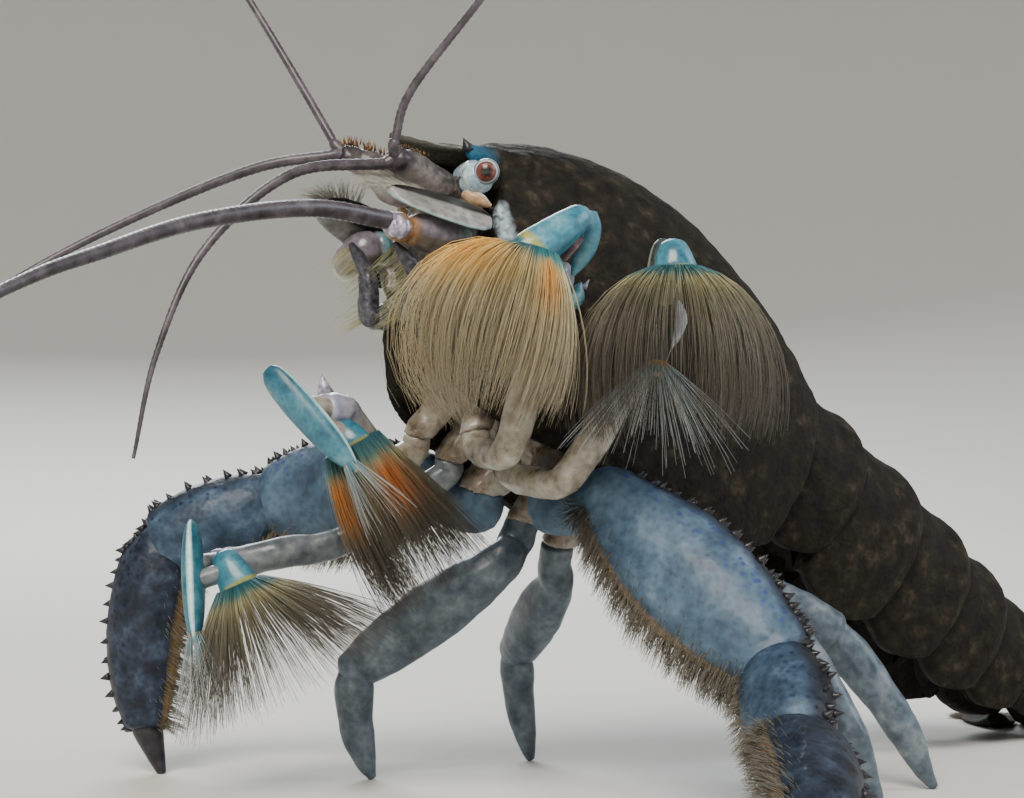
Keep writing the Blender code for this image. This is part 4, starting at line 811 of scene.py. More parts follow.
# The pale strip behind each eye, from its upper to its lower end, and how far each tint reaches.
CHEEK_STRIP = ((-8.25, -6.3, 47.1), (-7.75, -6.9, 44.9))
TOOTH_BLUE, STRIP_PALE, SNOUT_OLIVE = 1.5, 1.25, 3.4
CHEEK_SPINE = ((2.6, 7.9, 6.2, 0.6, 0.6), (0.9, 8.2, 6.2, 0.35, 0.35), (0.0, 8.3, 6.3, 0.08, 0.08))


def lean(s, h):
    """How far the shell's front margin lies back, fading to the rear."""
    return FRONT_SLANT * (ORBIT_H - h) * max(0.0, 1.0 - s / LEAN_FADE)


def shell_outline(top, half, low, taper, widest, ceiling, wall, arc=44, flank=30):
    """(w, h) once round a shell: the arched back, the two flanks and the ceiling between them."""
    a = np.linspace(0.0, math.pi / 2, arc)
    f = np.linspace(0.0, 1.0, flank)[1:]
    w = np.concatenate((half * np.sin(a), half * (1 - taper * f**2)))
    h = np.concatenate((widest + (top - widest) * np.cos(a), widest - (widest - low) * f))
    w = np.append(w, (w[-1] - wall, w[-1] - wall - 0.6))
    h = np.append(h, (low + 0.2, max(ceiling, low + 0.5)))
    return np.concatenate((w, -w[:0:-1])), np.concatenate((h, h[:0:-1]))


def carapace_ring(s):
    """The carapace's cross section at a place along the body."""
    sizes = (float(curve(row, np.array([s]))[0]) for row in (TOP, HALF_WIDTH, LOW, TAPER))
    w, h = shell_outline(*sizes, WIDEST_H, CEILING, MARGIN_WALL)
    return np.array([body(s + lean(s, y), x, y) for x, y in zip(w, h)])


print("the carapace's middle ring has", len(carapace_ring(CARAPACE_LENGTH / 2)), "points")

# %% [markdown]
# ## One skin from many parts
# The rostrum, the teeth and the keel grow out of the shell without a seam. They are lofted as tubes
# of their own, joined, and given one even skin by a voxel remesh, which rounds the edges where they
# meet as growth does. A boolean would leave those edges sharp.

# %% Joining and remeshing
def mirrored_rows(side, rows):
    """Rows given for the left side (y measured outward), or for the right."""
    table = np.array(rows, float)
    table[:, 1] *= -side
    return table


def joined(name, pieces):
    """One object from several, which are removed."""
    form = bmesh.new()
    for piece in pieces:
        form.from_mesh(piece.data)
    data = bpy.data.meshes.new(name)
    form.to_mesh(data)
    form.free()
    for material in pieces[0].data.materials:
        data.materials.append(material)
    for piece in pieces:
        bpy.data.objects.remove(piece)
    return placed(name, data)


def remeshed(piece, voxel, passes):
    """Gives a piece an even skin of small faces, smoothed a little."""
    change = piece.modifiers.new("even", "REMESH")
    change.mode, change.voxel_size, change.use_smooth_shade = "VOXEL", voxel * METRES, True
    soft = piece.modifiers.new("soft", "SMOOTH")
    soft.factor, soft.iterations = 0.5, passes
    settled(piece).data.shade_smooth()
    return piece


def read_points(piece):
    """A piece's points in the body's frame, and their normals."""
    data = piece.data
    points = np.zeros(len(data.vertices) * 3)
    normals = np.zeros(len(data.vertices) * 3, np.float32)
    data.vertices.foreach_get("co", points)
    data.vertex_normals.foreach_get("vector", normals)
    return points.reshape(-1, 3) / METRES - ORIGIN, normals.reshape(-1, 3).astype(float)


def write_points(piece, points):
    """Puts a piece's points back in metres."""
    piece.data.vertices.foreach_set("co", ((points + ORIGIN) * METRES).ravel())
    piece.data.update()


def near_line(points, start, end, reach):
    """1 on a line and 0 at reach mm from it."""
    start, end = np.asarray(start, float), np.asarray(end, float)
    along = np.clip(((points - start) @ (end - start)) / ((end - start) @ (end - start)), 0, 1)
    gap = np.linalg.norm(points - start - along[:, None] * (end - start), axis=1)
    return np.clip(1 - gap / reach, 0, 1)


print("remeshing tools ready")

# %% [markdown]
# ## The carapace
# The shell is dark brown and scuffed, with an olive rostrum and a blue tooth and a pale strip behind
# each eye. The roughness is pushed into the mesh itself. The tints are values near lines on the
# surface, so they fade into the brown as pigment does. The teeth's black tips are harder chitin.

# %% Carapace
SHELL_STEP, SHELL_VOXEL, SHELL_PASSES = 0.6, 0.27, 3
# The relief's three layers: height and lump size in mm, and where in the noise each one starts.
RELIEF = ((0.09, 0.9, 0.0), (0.14, 2.6, 5.0), (0.1, 6.0, 9.0))


def carapace():
    """The shell with its rostrum, teeth, keel and rough skin."""
    stations = np.concatenate((np.arange(0.0, CARAPACE_LENGTH, SHELL_STEP), (CARAPACE_LENGTH,)))
    rings = np.array([carapace_ring(s) for s in stations])
    count, sides = rings.shape[:2]
    points = np.vstack((rings.reshape(-1, 3), rings[0].mean(0), rings[-1].mean(0)))
    parts = [mesh_object("shell", points, grid_faces(count, sides), BROWN_CHITIN)]
    outgrowths = [ROSTRUM, KEEL]
    for side in (LEFT, RIGHT):
        outgrowths.append(mirrored_rows(side, SIDE_TOOTH))
        outgrowths.append([(*body(s, w * side, h), *size) for s, w, h, *size in CHEEK_SPINE])
    for k, rows in enumerate(outgrowths):
        parts.append(tube_object(f"snout_{k}", row_tube(rows, sides=24, step=0.25), BROWN_CHITIN))
    piece = remeshed(joined("carapace_shell", parts), SHELL_VOXEL, SHELL_PASSES)
    points, normals = read_points(piece)
    rough = sum(height * grain(points, size, start) for height, size, start in RELIEF)
    write_points(piece, points + normals * rough[:, None])
    blue, pale = np.zeros(len(points)), np.zeros(len(points))
    cloud = 0.85 + 0.7 * grain(points, 0.35, 2.0)
    for side in (LEFT, RIGHT):
        middle, shoulder = (mirrored(side, (x, -y, z)) for x, y, z, *_ in SIDE_TOOTH[1:3])
        near_tooth = near_line(points, shoulder - UP * 0.2, middle - UP * 0.3, TOOTH_BLUE)
        blue = np.maximum(blue, near_tooth)
        high, low = (mirrored(side, place) for place in CHEEK_STRIP)
        pale = np.maximum(pale, near_line(points, high, low, STRIP_PALE) * cloud)
        foot, way = (mirrored(side, place) for place in TOOTH_TIP)
        spike("tooth_tip", foot, way, THORN_CHITIN, 1.1, 0.58, "brown_shell")
    olive = near_line(points, ROSTRUM[-1][:3], ROSTRUM[1][:3], SNOUT_OLIVE) * (1.0 - blue)
    mark(piece, blue=blue, olive=olive, pale=pale)
    spike("rostrum_tip", *SNOUT_TIP, THORN_CHITIN, 1.3, 0.42, "brown_shell")
    return dress(piece, "brown_shell", "carapace")


made = carapace()
print(made.name, len(made.data.polygons), "faces")

# %% [markdown]
# ## The third legs
# The third pair is the stout one that carries the animal. Its thigh, carpus and propodus swell
# between their joints and wear dark spines above and a fringe of pale hair below. Each shell is a
# loft whose near end tucks into the one before it, so the joint reads as in life.

# %% Leg tables
# How far behind the orbit and how far from the middle each limb's coxa lies.
COXAE = {
    "cheliped_1": (10.0, 4.0), "cheliped_2": (13.7, 4.0), "leg_3": (18.4, 4.6),
    "leg_4": (23.3, 4.2), "leg_5": (27.4, 3.9),
}
COXA_H = -4.4
COXA_OUT = unit((0.0, -0.35, -0.94))
THIRD_LEGS = {
    "left": dict(
        ischium=(-1.6, -11.6, 24.2), knee=(2.2, -26.6, 11.9), ankle=(-1.9, -32.4, 7.0),
        wrist=(-11.0, -42.6, 3.1), foot=(-14.4, -45.8, 0.0), broad=(0.55, -0.45, 0.7),
    ),
    "right": dict(
        ischium=(-4.2, 8.6, 25.2), knee=(-11.5, 21.5, 23.9), ankle=(-19.2, 27.6, 20.0),
        wrist=(-20.4, 28.4, 4.4), foot=(-19.6, 26.8, 0.0), broad=(0.0, 0.0, 1.0),
    ),
}
# Share of a segment's length, its half depth and its half width there.
THIGH = (
    (0.0, 2.5, 2.1), (0.18, 3.7, 2.7), (0.45, 4.75, 3.3),
    (0.72, 4.5, 3.1), (0.9, 3.7, 2.8), (1.0, 3.2, 2.6),
)
CARPUS = (
    (-0.1, 1.7, 1.5), (0.04, 2.6, 2.3), (0.25, 3.3, 2.8),
    (0.55, 3.7, 3.0), (0.85, 3.4, 2.9), (1.0, 3.0, 2.6),
)
PROPODUS = (
    (-0.06, 1.9, 1.7), (0.04, 2.8, 2.4), (0.18, 3.4, 2.8),
    (0.45, 3.4, 2.8), (0.75, 3.0, 2.5), (1.0, 2.0, 1.8),
)
CLAW = ((-0.1, 1.0, 1.0), (0.1, 1.35, 1.25), (0.5, 1.0, 0.9), (0.97, 0.42, 0.42))
PROPODUS_BOW = 0.9
TAN_STARTS = -0.82
LEG_SIDES = 56
# For each shell: its finish, the height of its lumps and the share of its length without a tan line.
LEG_SHELLS = {
    "thigh": (BLUE_CHITIN, 0.13, 0.42), "carpus": (CARPUS_CHITIN, 0.12, 0.0),
    "propodus": (DARK_CHITIN, 0.12, 0.0),
}
# Where the spines start and end, their spacing, length and radius, and their rows' spread and count.
LEG_SPINES = {
    "thigh": (0.3, 0.97, 0.85, 0.82, 0.38, 0.2, 2), "carpus": (0.12, 0.95, 0.95, 0.86, 0.4, 0.25, 2),
    "propodus": (0.08, 0.95, 0.85, 0.82, 0.38, 0.3, 3),
}
# Where the hair starts and ends, how many hairs there are and how long they grow.
LEG_FRINGES = {
    "thigh": (0.3, 0.98, 2600, 2.5), "carpus": (0.3, 0.95, 500, 1.6), "propodus": (0.2, 0.97, 1100, 1.9),
}


def coxa_joint(name, side):
    """The joint where a limb leaves its coxa, and the direction in which it leaves."""
    s, w = COXAE[name]
    return body(s, w * side, COXA_H), mirrored(side, COXA_OUT)


def squared(direction, along):
    """The part of a direction that is square to another, at length one."""
    direction, along = np.asarray(direction, float), unit(along)
    return unit(direction - along * (direction @ along))


def segment_tube(start, end, stations, up, bow=0.0, lead=(), **settings):
    """A swollen shell between two joints; lead holds points and sizes that come before it."""
    start, end, rise = np.asarray(start, float), np.asarray(end, float), np.asarray(up) * bow
    rows = [(*place, *size) for place, size in lead]
    for t, depth, width in stations:
        place = start + (end - start) * t + rise * math.sin(math.pi * min(max(t, 0), 1))
        rows.append((*place, depth, width))
    return row_tube(rows, up=up, sides=LEG_SIDES, **settings)


def leg_shell(name, tube, material, slot, lumps, tan_from=0.0):
    """The shell of one segment, lumpy, its upper and lower side marked and tan from some place on."""
    rings = roughened(tube, lumps, 1.3)
    rings += unit(tube.rings - tube.axis[:, None]) * (grain(tube.rings, 0.5, 3.0) * lumps * 0.4)[..., None]
    piece = tube_object(f"{name}_shell", tube, material, rings)
    side = np.tile(np.cos(tube.angles), (len(tube.axis), 1))
    side[tube.along < tan_from] = np.maximum(side[tube.along < tan_from], TAN_STARTS)
    mark(piece, side=np.append(side.ravel(), (0.0, 0.0)))
    return dress(piece, slot, name)


def spines_along(name, tube, start, end, spacing, length, radius, spread, rows):
    """Dark spines in rows along the upper edge of a shell, sunk a little into it."""
    span = np.linalg.norm(np.diff(tube.axis, axis=0), axis=1).sum() * (end - start)
    places = np.linspace(start, end, max(2, int(span / spacing)))
    points, leans = [], []
    for k in range(rows):
        line, out, way = tube.row((k - (rows - 1) / 2) * spread, places)
        jitter = rng.normal(0.0, 0.12, line.shape)
        points.append(line - out * length * 0.2 + jitter * 0.5)
        leans.append(unit(out + way * 0.35 + jitter))
    piece = thorns(name, np.vstack(points), np.vstack(leans), THORN_CHITIN, length, radius)
    return dress(piece, "blue_shell")


print("leg tables for", list(THIRD_LEGS))

# %% [markdown]
# ## Hair on the legs
# The fringe under each leg is many hundreds of stiff hairs that stand off the lower edge and lean
# toward the foot. Each is one bristle line with its root on the shell; neighbouring hairs share
# most of their lean, so that they gather in small locks.

# %% Finish of the setae
# How strong the gold is along a bristle, as greys.
GOLD_BAND = (
    (0.03, (0, 0, 0, 1)), (0.13, (1, 1, 1, 1)), (0.32, (0.85, 0.85, 0.85, 1)), (0.5, (0, 0, 0, 1)),
)


def seta_finish(name, tints, gold=None, rough=0.45):
    """Horn-like bristle, coloured along its length; gold is a pair for the band of some fans."""
    made, tree, shader = finish_start(name)
    along = add(tree, "ShaderNodeAttribute", attribute_name="along")
    stops = [(at, colour(code)) for at, code in tints]
    tint = add(tree, "ShaderNodeValToRGB", {"Fac": along}, stops=stops)
    if gold:
        rust = add(tree, "ShaderNodeAttribute", attribute_name="rust")
        later = add(tree, "ShaderNodeMath", {0: rust, 1: -0.12, 2: along}, operation="MULTIPLY_ADD")
        band = add(tree, "ShaderNodeValToRGB", {"Fac": later}, stops=GOLD_BAND)
        share = add(tree, "ShaderNodeAttribute", attribute_name="gold")
        both = add(tree, "ShaderNodeMath", {0: band, 1: share}, operation="MULTIPLY")
        pale, red = map(colour, gold)
        metal = add(tree, "ShaderNodeMix", {0: rust, 6: pale, 7: red}, data_type="RGBA")
        tint = add(tree, "ShaderNodeMix", {0: both, 6: tint, 7: metal}, data_type="RGBA")
    tone = add(tree, "ShaderNodeAttribute", attribute_name="tone")
    shade = add(tree, "ShaderNodeMapRange", {"Value": tone, 3: 0.7, 4: 1.15})
    tint = add(tree, "ShaderNodeMix", {0: 1.0, 6: tint, 7: shade}, data_type="RGBA", blend_type="MULTIPLY")
    feed(tree, shader, {"Base Color": tint, "Roughness": rough})
    return made


# Leg hair: unpigmented chitin, straw coloured at the root and greyish white where it frays.
HAIR = seta_finish("leg_hair", ((0.02, "#5E4B30"), (0.2, "#5F594A"), (0.95, "#7D796E")))


print("leg hair's finish is", HAIR.name)

# %% [markdown]
# ## A fringe and a whole leg
# Each hair asks its shell for a place near one edge and for the way out of it, and hairs far from
# the edge are shorter, so the fringe is full in its middle. The leg is then a loop over its
# shells: a loft, its spines and its hair, from the hip outward.

# %% Third legs
FRINGE_STEPS, FRINGE_COLUMNS, LOCKS = 6, 13, 140.0
HAIR_THICKNESS = 0.035


def fringe(name, tube, start, end, count, length, angle=math.pi, spread=0.35):
    """A dense fringe of hairs along one edge of a shell."""
    place = np.sort(rng.uniform(start, end, count))
    offs = rng.normal(0.0, spread, count)
    lines = np.zeros((count, FRINGE_STEPS, 3))
    surface = tube.surface(np.linspace(angle - 3 * spread, angle + 3 * spread, FRINGE_COLUMNS))
    gather = np.sin(place * LOCKS)
    t = np.linspace(0.0, 1.0, FRINGE_STEPS)[:, None]
    for k in range(count):
        at = place[k] * (len(tube.axis) - 1)
        i = min(int(at), len(tube.axis) - 2)
        column = int(np.clip((offs[k] / spread + 3) * 2, 0, FRINGE_COLUMNS - 1))
        root = surface[i, column] + (surface[i + 1, column] - surface[i, column]) * (at - i)
        out = unit(root - tube.axis[i])
        lean_way = unit(out + tube.way[i] * (0.3 + 0.16 * gather[k]) + rng.normal(0, 0.1, 3))
        bend = tube.way[i] * 0.25 + rng.normal(0, 0.08, 3)
        reach = length * rng.uniform(0.6, 1.1) * math.exp(-0.5 * (offs[k] / (2 * spread)) ** 2)
        lines[k] = root - out * 0.15 + (lean_way * t + bend * t**2 * 0.5) * reach
    roots = np.clip(np.stack((place, 0.5 + offs / (8 * spread)), 1), 0.0, 1.0)
    return dress(bristles(name, lines, HAIR, HAIR_THICKNESS, roots), "blue_shell")


def third_leg(word, side):
    """One stout leg from its coxa to the claw."""
    ischium, knee, ankle, wrist, foot, broad = (
        np.array(THIRD_LEGS[word][key], float)
        for key in ("ischium", "knee", "ankle", "wrist", "foot", "broad")
    )
    coxa, out = coxa_joint("leg_3", side)
    drop = coxa + out * 1.6
    lead = [(coxa, (1.9, 1.9)), (drop, (2.05, 1.95)), ((drop + ischium) / 2 - UP * 0.4, (2.2, 2.0))]
    knee_way = unit(unit(knee - ischium) + unit(ankle - knee))
    ridge = squared(knee_way + broad * 0.4, wrist - ankle)
    tubes = {
        "thigh": segment_tube(ischium, knee, THIGH, broad, lead=lead, ends=(0.3, 0.35)),
        "carpus": segment_tube(knee, ankle, CARPUS, broad, ends=(0.3, 0.35)),
        "propodus": segment_tube(ankle, wrist, PROPODUS, ridge, bow=PROPODUS_BOW, ends=(0.3, 0.4)),
    }
    for part, tube in tubes.items():
        name = f"leg_3_{word}_{part}"
        finish, lumps, tan_from = LEG_SHELLS[part]
        leg_shell(name, tube, finish, "blue_shell", lumps, tan_from)
        spines_along(f"{name}_spines", tube, *LEG_SPINES[part])
        fringe(f"{name}_hair", tube, *LEG_FRINGES[part])
    claw = segment_tube(wrist, foot, CLAW, ridge, ends=(0.3, 0.6))
    leg_shell(f"leg_3_{word}_claw", claw, THORN_CHITIN, "dark_feeler", 0.03)


SIDES = (("left", LEFT), ("right", RIGHT))
for leg_word, leg_side in SIDES:
    third_leg(leg_word, leg_side)

# %% [markdown]
# ## The four fans
# The first two pairs of legs end in fans instead of claws. The hand and the finger are two halves
# of a small spoon; each carries a bell of very long setae which open into a basket to sift the
# water. The bell is what one sees, so it is grown bristle by bristle, in clumps, with shorter ones
# inside. Near the root they are teal and cream, then golden, then smoky.

# %% Fan tables
# Each arm has its elbow and wrist and its hand from heel to tip. The finger is a cap from the
# middle of the bristle roots to its free end. The bell opens from its axis at one angle and bends
# to another, on its left and on its right side; each gold lies at a place round the bell and
# reaches some way to its sides. The brush has such angles, a length and a count.
ARMS = {
    "cheliped_1_left": dict(
        coxa="cheliped_1", side=LEFT, elbow=(-10.6, -10.6, 27.8), wrist=(-8.6, -13.9, 40.2),
        heel=(-6.6, -15.0, 46.0), tip=(-15.2, -14.6, 38.8), root=(-13.8, -17.4, 42.1),
        cap_end=(-9.1, -18.3, 45.4), axis=(-0.32, 0.0, -0.95), half=(1.1, 2.1),
        left=(88.0, -58.0, 18.8), right=(36.0, -4.0, 12.6), bend=1.05, count=1700,
        gold=((0.7, 0.15, 0.0), (0.4, 0.05, 0.5)), brush=(26.0, 12.0, 9.0, 200),
        spine=((-6.9, -15.2, 40.0), (0.5, -0.2, 0.8), 0.9, 0.3),
    ),
    "cheliped_2_left": dict(
        coxa="cheliped_2", side=LEFT, elbow=(-5.8, -11.4, 25.4), wrist=(1.2, -15.8, 37.6),
        heel=(0.2, -16.6, 44.0), tip=(-2.8, -18.9, 33.4), root=(-2.2, -20.5, 41.2),
        cap_end=(-1.9, -19.7, 43.6), axis=(-0.06, -0.08, -0.99), half=(1.2, 2.1),
        left=(82.0, -12.0, 15.6), right=(80.0, -14.0, 15.6), bend=0.75, count=1500,
        sparse=(0.5, 0.13), gold=(), brush=(50.0, 38.0, 10.4, 150), smoky=True, hollow=True,
    ),
    "cheliped_1_right": dict(
        coxa="cheliped_1", side=RIGHT, elbow=(-11.8, 4.4, 26.6), wrist=(-17.2, 2.4, 30.9),
        heel=(-23.6, 3.1, 34.0), tip=(-19.2, -2.7, 26.2), root=(-17.8, -0.2, 28.0),
        cap_end=(-18.4, 1.1, 29.9), axis=(0.46, -0.16, -0.87), half=(1.3, 2.4),
        left=(26.0, -10.0, 14.6), right=(16.0, 12.0, 13.4), bend=0.75, count=1700,
        gold=((0.68, 0.07, 0.7), (0.4, 0.08, 0.9)), brush=(22.0, 16.0, 7.0, 60), smoky=True,
        spine=((-18.2, 3.2, 32.3), (-0.25, 0.0, 1.0), 1.75, 0.72),
    ),
    "cheliped_2_right": dict(
        coxa="cheliped_2", side=RIGHT, elbow=(-12.0, 9.4, 20.6), wrist=(-20.6, 13.4, 18.6),
        heel=(-24.4, 13.4, 22.0), tip=(-26.2, 9.6, 12.6), root=(-22.6, 8.8, 16.9),
        cap_end=(-23.3, 10.6, 19.7), axis=(0.33, -0.22, -0.92), half=(1.2, 1.9),
        left=(44.0, 34.0, 12.6), right=(58.0, 42.0, 13.0), bend=0.75, count=1300, finish="far",
        gold=(), brush=(24.0, 16.0, 9.0, 90), smoky=True,
    ),
}
ARM_RADII = (1.15, 1.25, 1.35, 1.3, 1.35, 1.4, 1.35, 1.45, 1.4)
ARM_FLATNESS = 0.9
PALM_AT = 0.36
# Share of the hand's length, its half depth and half width.
HAND = (
    (0.0, 0.3, 0.6), (0.06, 0.55, 1.0), (0.2, 0.8, 1.25), (0.45, 0.95, 1.3),
    (0.75, 0.8, 1.1), (0.93, 0.5, 0.6), (1.0, 0.2, 0.25),
)
# Share of the cap's length from the roots, its half depth and half width.
CAP = (
    (-0.25, 0.5, 1.0), (0.0, 1.0, 1.6), (0.3, 1.1, 1.5),
    (0.65, 1.0, 1.25), (0.9, 0.7, 0.95), (1.0, 0.3, 0.5),
)
PALM_PEG, KNUCKLE_PEG = ((0.0, 0.9), (0.5, 0.95), (1.0, 1.05)), ((0.0, 0.8), (0.4, 0.8), (0.9, 0.8))
BELL_SPREAD, BRUSH_SPREAD = 310.0, 340.0
BELL_THICKNESS, BRUSH_THICKNESS = 0.029, 0.025
CLUMPS = 84.0
BELL_STEPS = 9
BRUSH_BEND = 1.0
BRUSH_BEHIND_TIP = 1.0
NEAR = -LOOK
# The nearest fan's second blade and the dark slot between the two, from top to low end.
SECOND_BLADE = (
    (-7.9, -17.3, 45.5, 0.3, 0.5), (-8.0, -17.4, 44.4, 0.35, 0.8), (-8.3, -17.3, 43.0, 0.35, 0.8),
    (-8.8, -17.0, 41.8, 0.3, 0.6), (-9.3, -16.8, 40.7, 0.15, 0.15),
)
# The turquoise tooth on the nearest arm's carpus.
CARPUS_TOOTH = (
    (-8.2, -14.8, 38.4, 0.5, 0.5), (-7.7, -15.2, 39.4, 0.6, 0.75), (-7.4, -15.5, 40.4, 0.12, 0.12),
)
SLOT = ((-8.3, -16.9, 44.9, 0.3, 0.4), (-9.1, -16.8, 43.6, 0.4, 0.8), (-10.0, -16.6, 41.9, 0.3, 0.4))

print("fans", list(ARMS))

# %% [markdown]
# ## Finishes of the fans
# A seta is a chitin hair with hardly any pigment of its own, so one finish with a ramp along the
# hair does for all, and each fan has its own tints. The knobs, caps and teeth are shell, as smooth
# as a fingernail, and take the shells' finish.

# %% Fan finishes
# Knobs and small spines: glassy, pale violet.
KNOB_CHITIN = shell_finish("knob_chitin", ("#5E566B", "#A5A1B8", "#D3D2DC"), 0.5, 0.3, 0.03, 0.15, coat=0.8)
# Palps: speckled violet-grey, nearly black toward the tip.
PALP_CHITIN = shell_finish(
    "palp_chitin", ("#18161C", "#2D2B34", "#484852", "#6B6F72"), 0.5, 0.3, 0.03, 0.38, coat=0.2,
    bands=(("along", 0.72, 0.95, "#1F2028"),),
)
# Fan setae: soft chitin hairs, teal where they leave the shell, cream, then smoke brown.
FAN_HAIR = seta_finish("fan_bristle", (
    (0.02, "#1E626C"), (0.1, "#4C8483"), (0.18, "#C4BB8C"),
    (0.32, "#B0A57C"), (0.6, "#A09474"), (0.95, "#938870"),
), gold=("#F2BC5A", "#B4642A"))
# Smoky setae: those of the three farther fans, browner toward their ends.
SMOKE_HAIR = seta_finish("smoky_bristle", (
    (0.02, "#1B5560"), (0.1, "#3F6E6E"), (0.18, "#A09870"),
    (0.3, "#6F6A53"), (0.6, "#524C3E"), (0.95, "#453F35"),
), gold=("#D89A3C", "#B05E24"))
# Brush setae: the same hair without pigment, blue-white and glassy.
BRUSH_HAIR = seta_finish("brush_bristle", (
    (0.02, "#DBA03A"), (0.08, "#D3A04A"), (0.13, "#7FA5AC"), (0.4, "#98A5A8"), (0.95, "#A9AEAE"),
), rough=0.3)
# Cap chitin: the finger's shell, clear turquoise over deep teal, with a yellow-green ridge below.
CAP_CHITIN = shell_finish(
    "cap_chitin", ("#194C5F", "#276479", "#3F7E91", "#6398A5"), 2.4, 0.35, 0.02, 0.32, coat=0.25,
    bands=(("along", 0.34, 0.3, "#8E9150"), ("along", 0.26, 0.22, "#1E5F6C")),
)
# Hollow blade: the inner face of a hand, smoke dark between its two pale edges.
HOLLOW_CHITIN = shell_finish(
    "hollow_blade_chitin", ("#141C1E", "#222F31", "#3A484A"), 1.6, 0.35, 0.02, 0.3, coat=0.2,
    bands=(("rim", 0.88, 0.97, "#8D917F"), ("along", 0.86, 0.92, "#D9A441")),
)
# Tooth of the nearest arm's carpus: thin, pale turquoise.
TOOTH_CHITIN = shell_finish(
    "carpus_tooth_chitin", ("#2C6B80", "#5E98A8", "#9CC2CA"), 0.8, 0.3, 0.02, 0.3, coat=0.3,
)
# Slot chitin: the wine-dark inside of the spoon.
SLOT_CHITIN = shell_finish("slot_chitin", ("#2A1A1E", "#49303A", "#7C6470"), 0.8, 0.3, 0.02, 0.2, coat=0.8)


print("finishes so far", len(bpy.data.materials))

# %% [markdown]
# ## The run of a bell's bristles
# Each bristle leaves the finger at its own place round the bell, opens away from the axis and
# bends back toward it, so it is followed step by step: at each step its direction is mixed anew.
# Layers, clumps and sway keep any two of them from running alike.

# %% Bell lines
def bell_lines(root, axis, half, left, right, bend, count, sparse=None, spread=BELL_SPREAD):
    """Bristle lines round an axis, and each one's place round the bell from 0 to 1.

    left and right hold the angle at which bristles leave the axis there, the angle to which
    they bend, and their length; sparse thins the bell at a place round it.
    """
    axis = unit(axis)
    front = squared(NEAR, axis)
    side = np.cross(axis, front)
    share = rng.random(count * 2)
    keep = np.ones(len(share), bool)
    if sparse:
        keep = rng.random(len(share)) > 0.8 * np.exp(-(((share - sparse[0]) / sparse[1]) ** 2))
    share = np.sort(share[keep][:count])
    count = len(share)
    layer = rng.random(count) ** 1.8
    clump = np.round(share * CLUMPS) / CLUMPS
    sway = rng.normal(0.0, 1.0, (count, 2))
    uneven = (1.0 - 0.45 * rng.random(count) ** 1.8) * (1.0 - 0.2 * layer)
    lines = np.zeros((count, BELL_STEPS, 3))
    for i in range(BELL_STEPS):
        t = i / (BELL_STEPS - 1)
        a = np.radians(spread) * (share + (clump - share) * 0.4 * t - 0.5)
        radial = front * np.cos(a)[:, None] + side * np.sin(a)[:, None]
        lie = 0.5 + 0.5 * np.sin(a)
        opening, closing, reach = (right[k] + (left[k] - right[k]) * lie for k in range(3))
        tilt = np.radians((opening + (closing - opening) * t**bend) * (1.0 - 0.45 * layer))
        tilt += np.radians(2.5) * sway[:, 0] * (1 + t)
        way = radial * np.sin(tilt)[:, None] + axis * np.cos(tilt)[:, None]
        way = unit(way + np.cross(axis, radial) * (0.04 * sway[:, 1] * t)[:, None])
        if i == 0:
            inner = (1.0 - 0.5 * layer)[:, None]
            place = front * (half[0] * np.cos(a))[:, None] + side * (half[1] * np.sin(a))[:, None]
            place = root + place * inner - axis * 0.3
        else:
            place = place + way * (reach * uneven / (BELL_STEPS - 1))[:, None]
        lines[:, i] = place
    return lines, share


def gold_marks(share, spots):
    """How golden and how rusty each bristle is, from each gold's place, reach and rust."""
    gold, rust = np.zeros(len(share)), np.zeros(len(share))
    for centre, reach, redness in spots:
        near = np.exp(-(((share - centre) / reach) ** 2))
        rust = np.where(near > gold, redness, rust)
        gold = np.maximum(gold, near)
    return {"gold": gold, "rust": rust}


print("at a gold's own place it is", gold_marks(np.array([0.5]), ((0.5, 0.1, 0.0),))["gold"][0])

# %% [markdown]
# ## Building one fan
# The arm, the hand's blade, the finger's cap, the bell and the brush are pieces of their own, since
# each is a separate shell or coat on the living animal and takes a finish of its own.

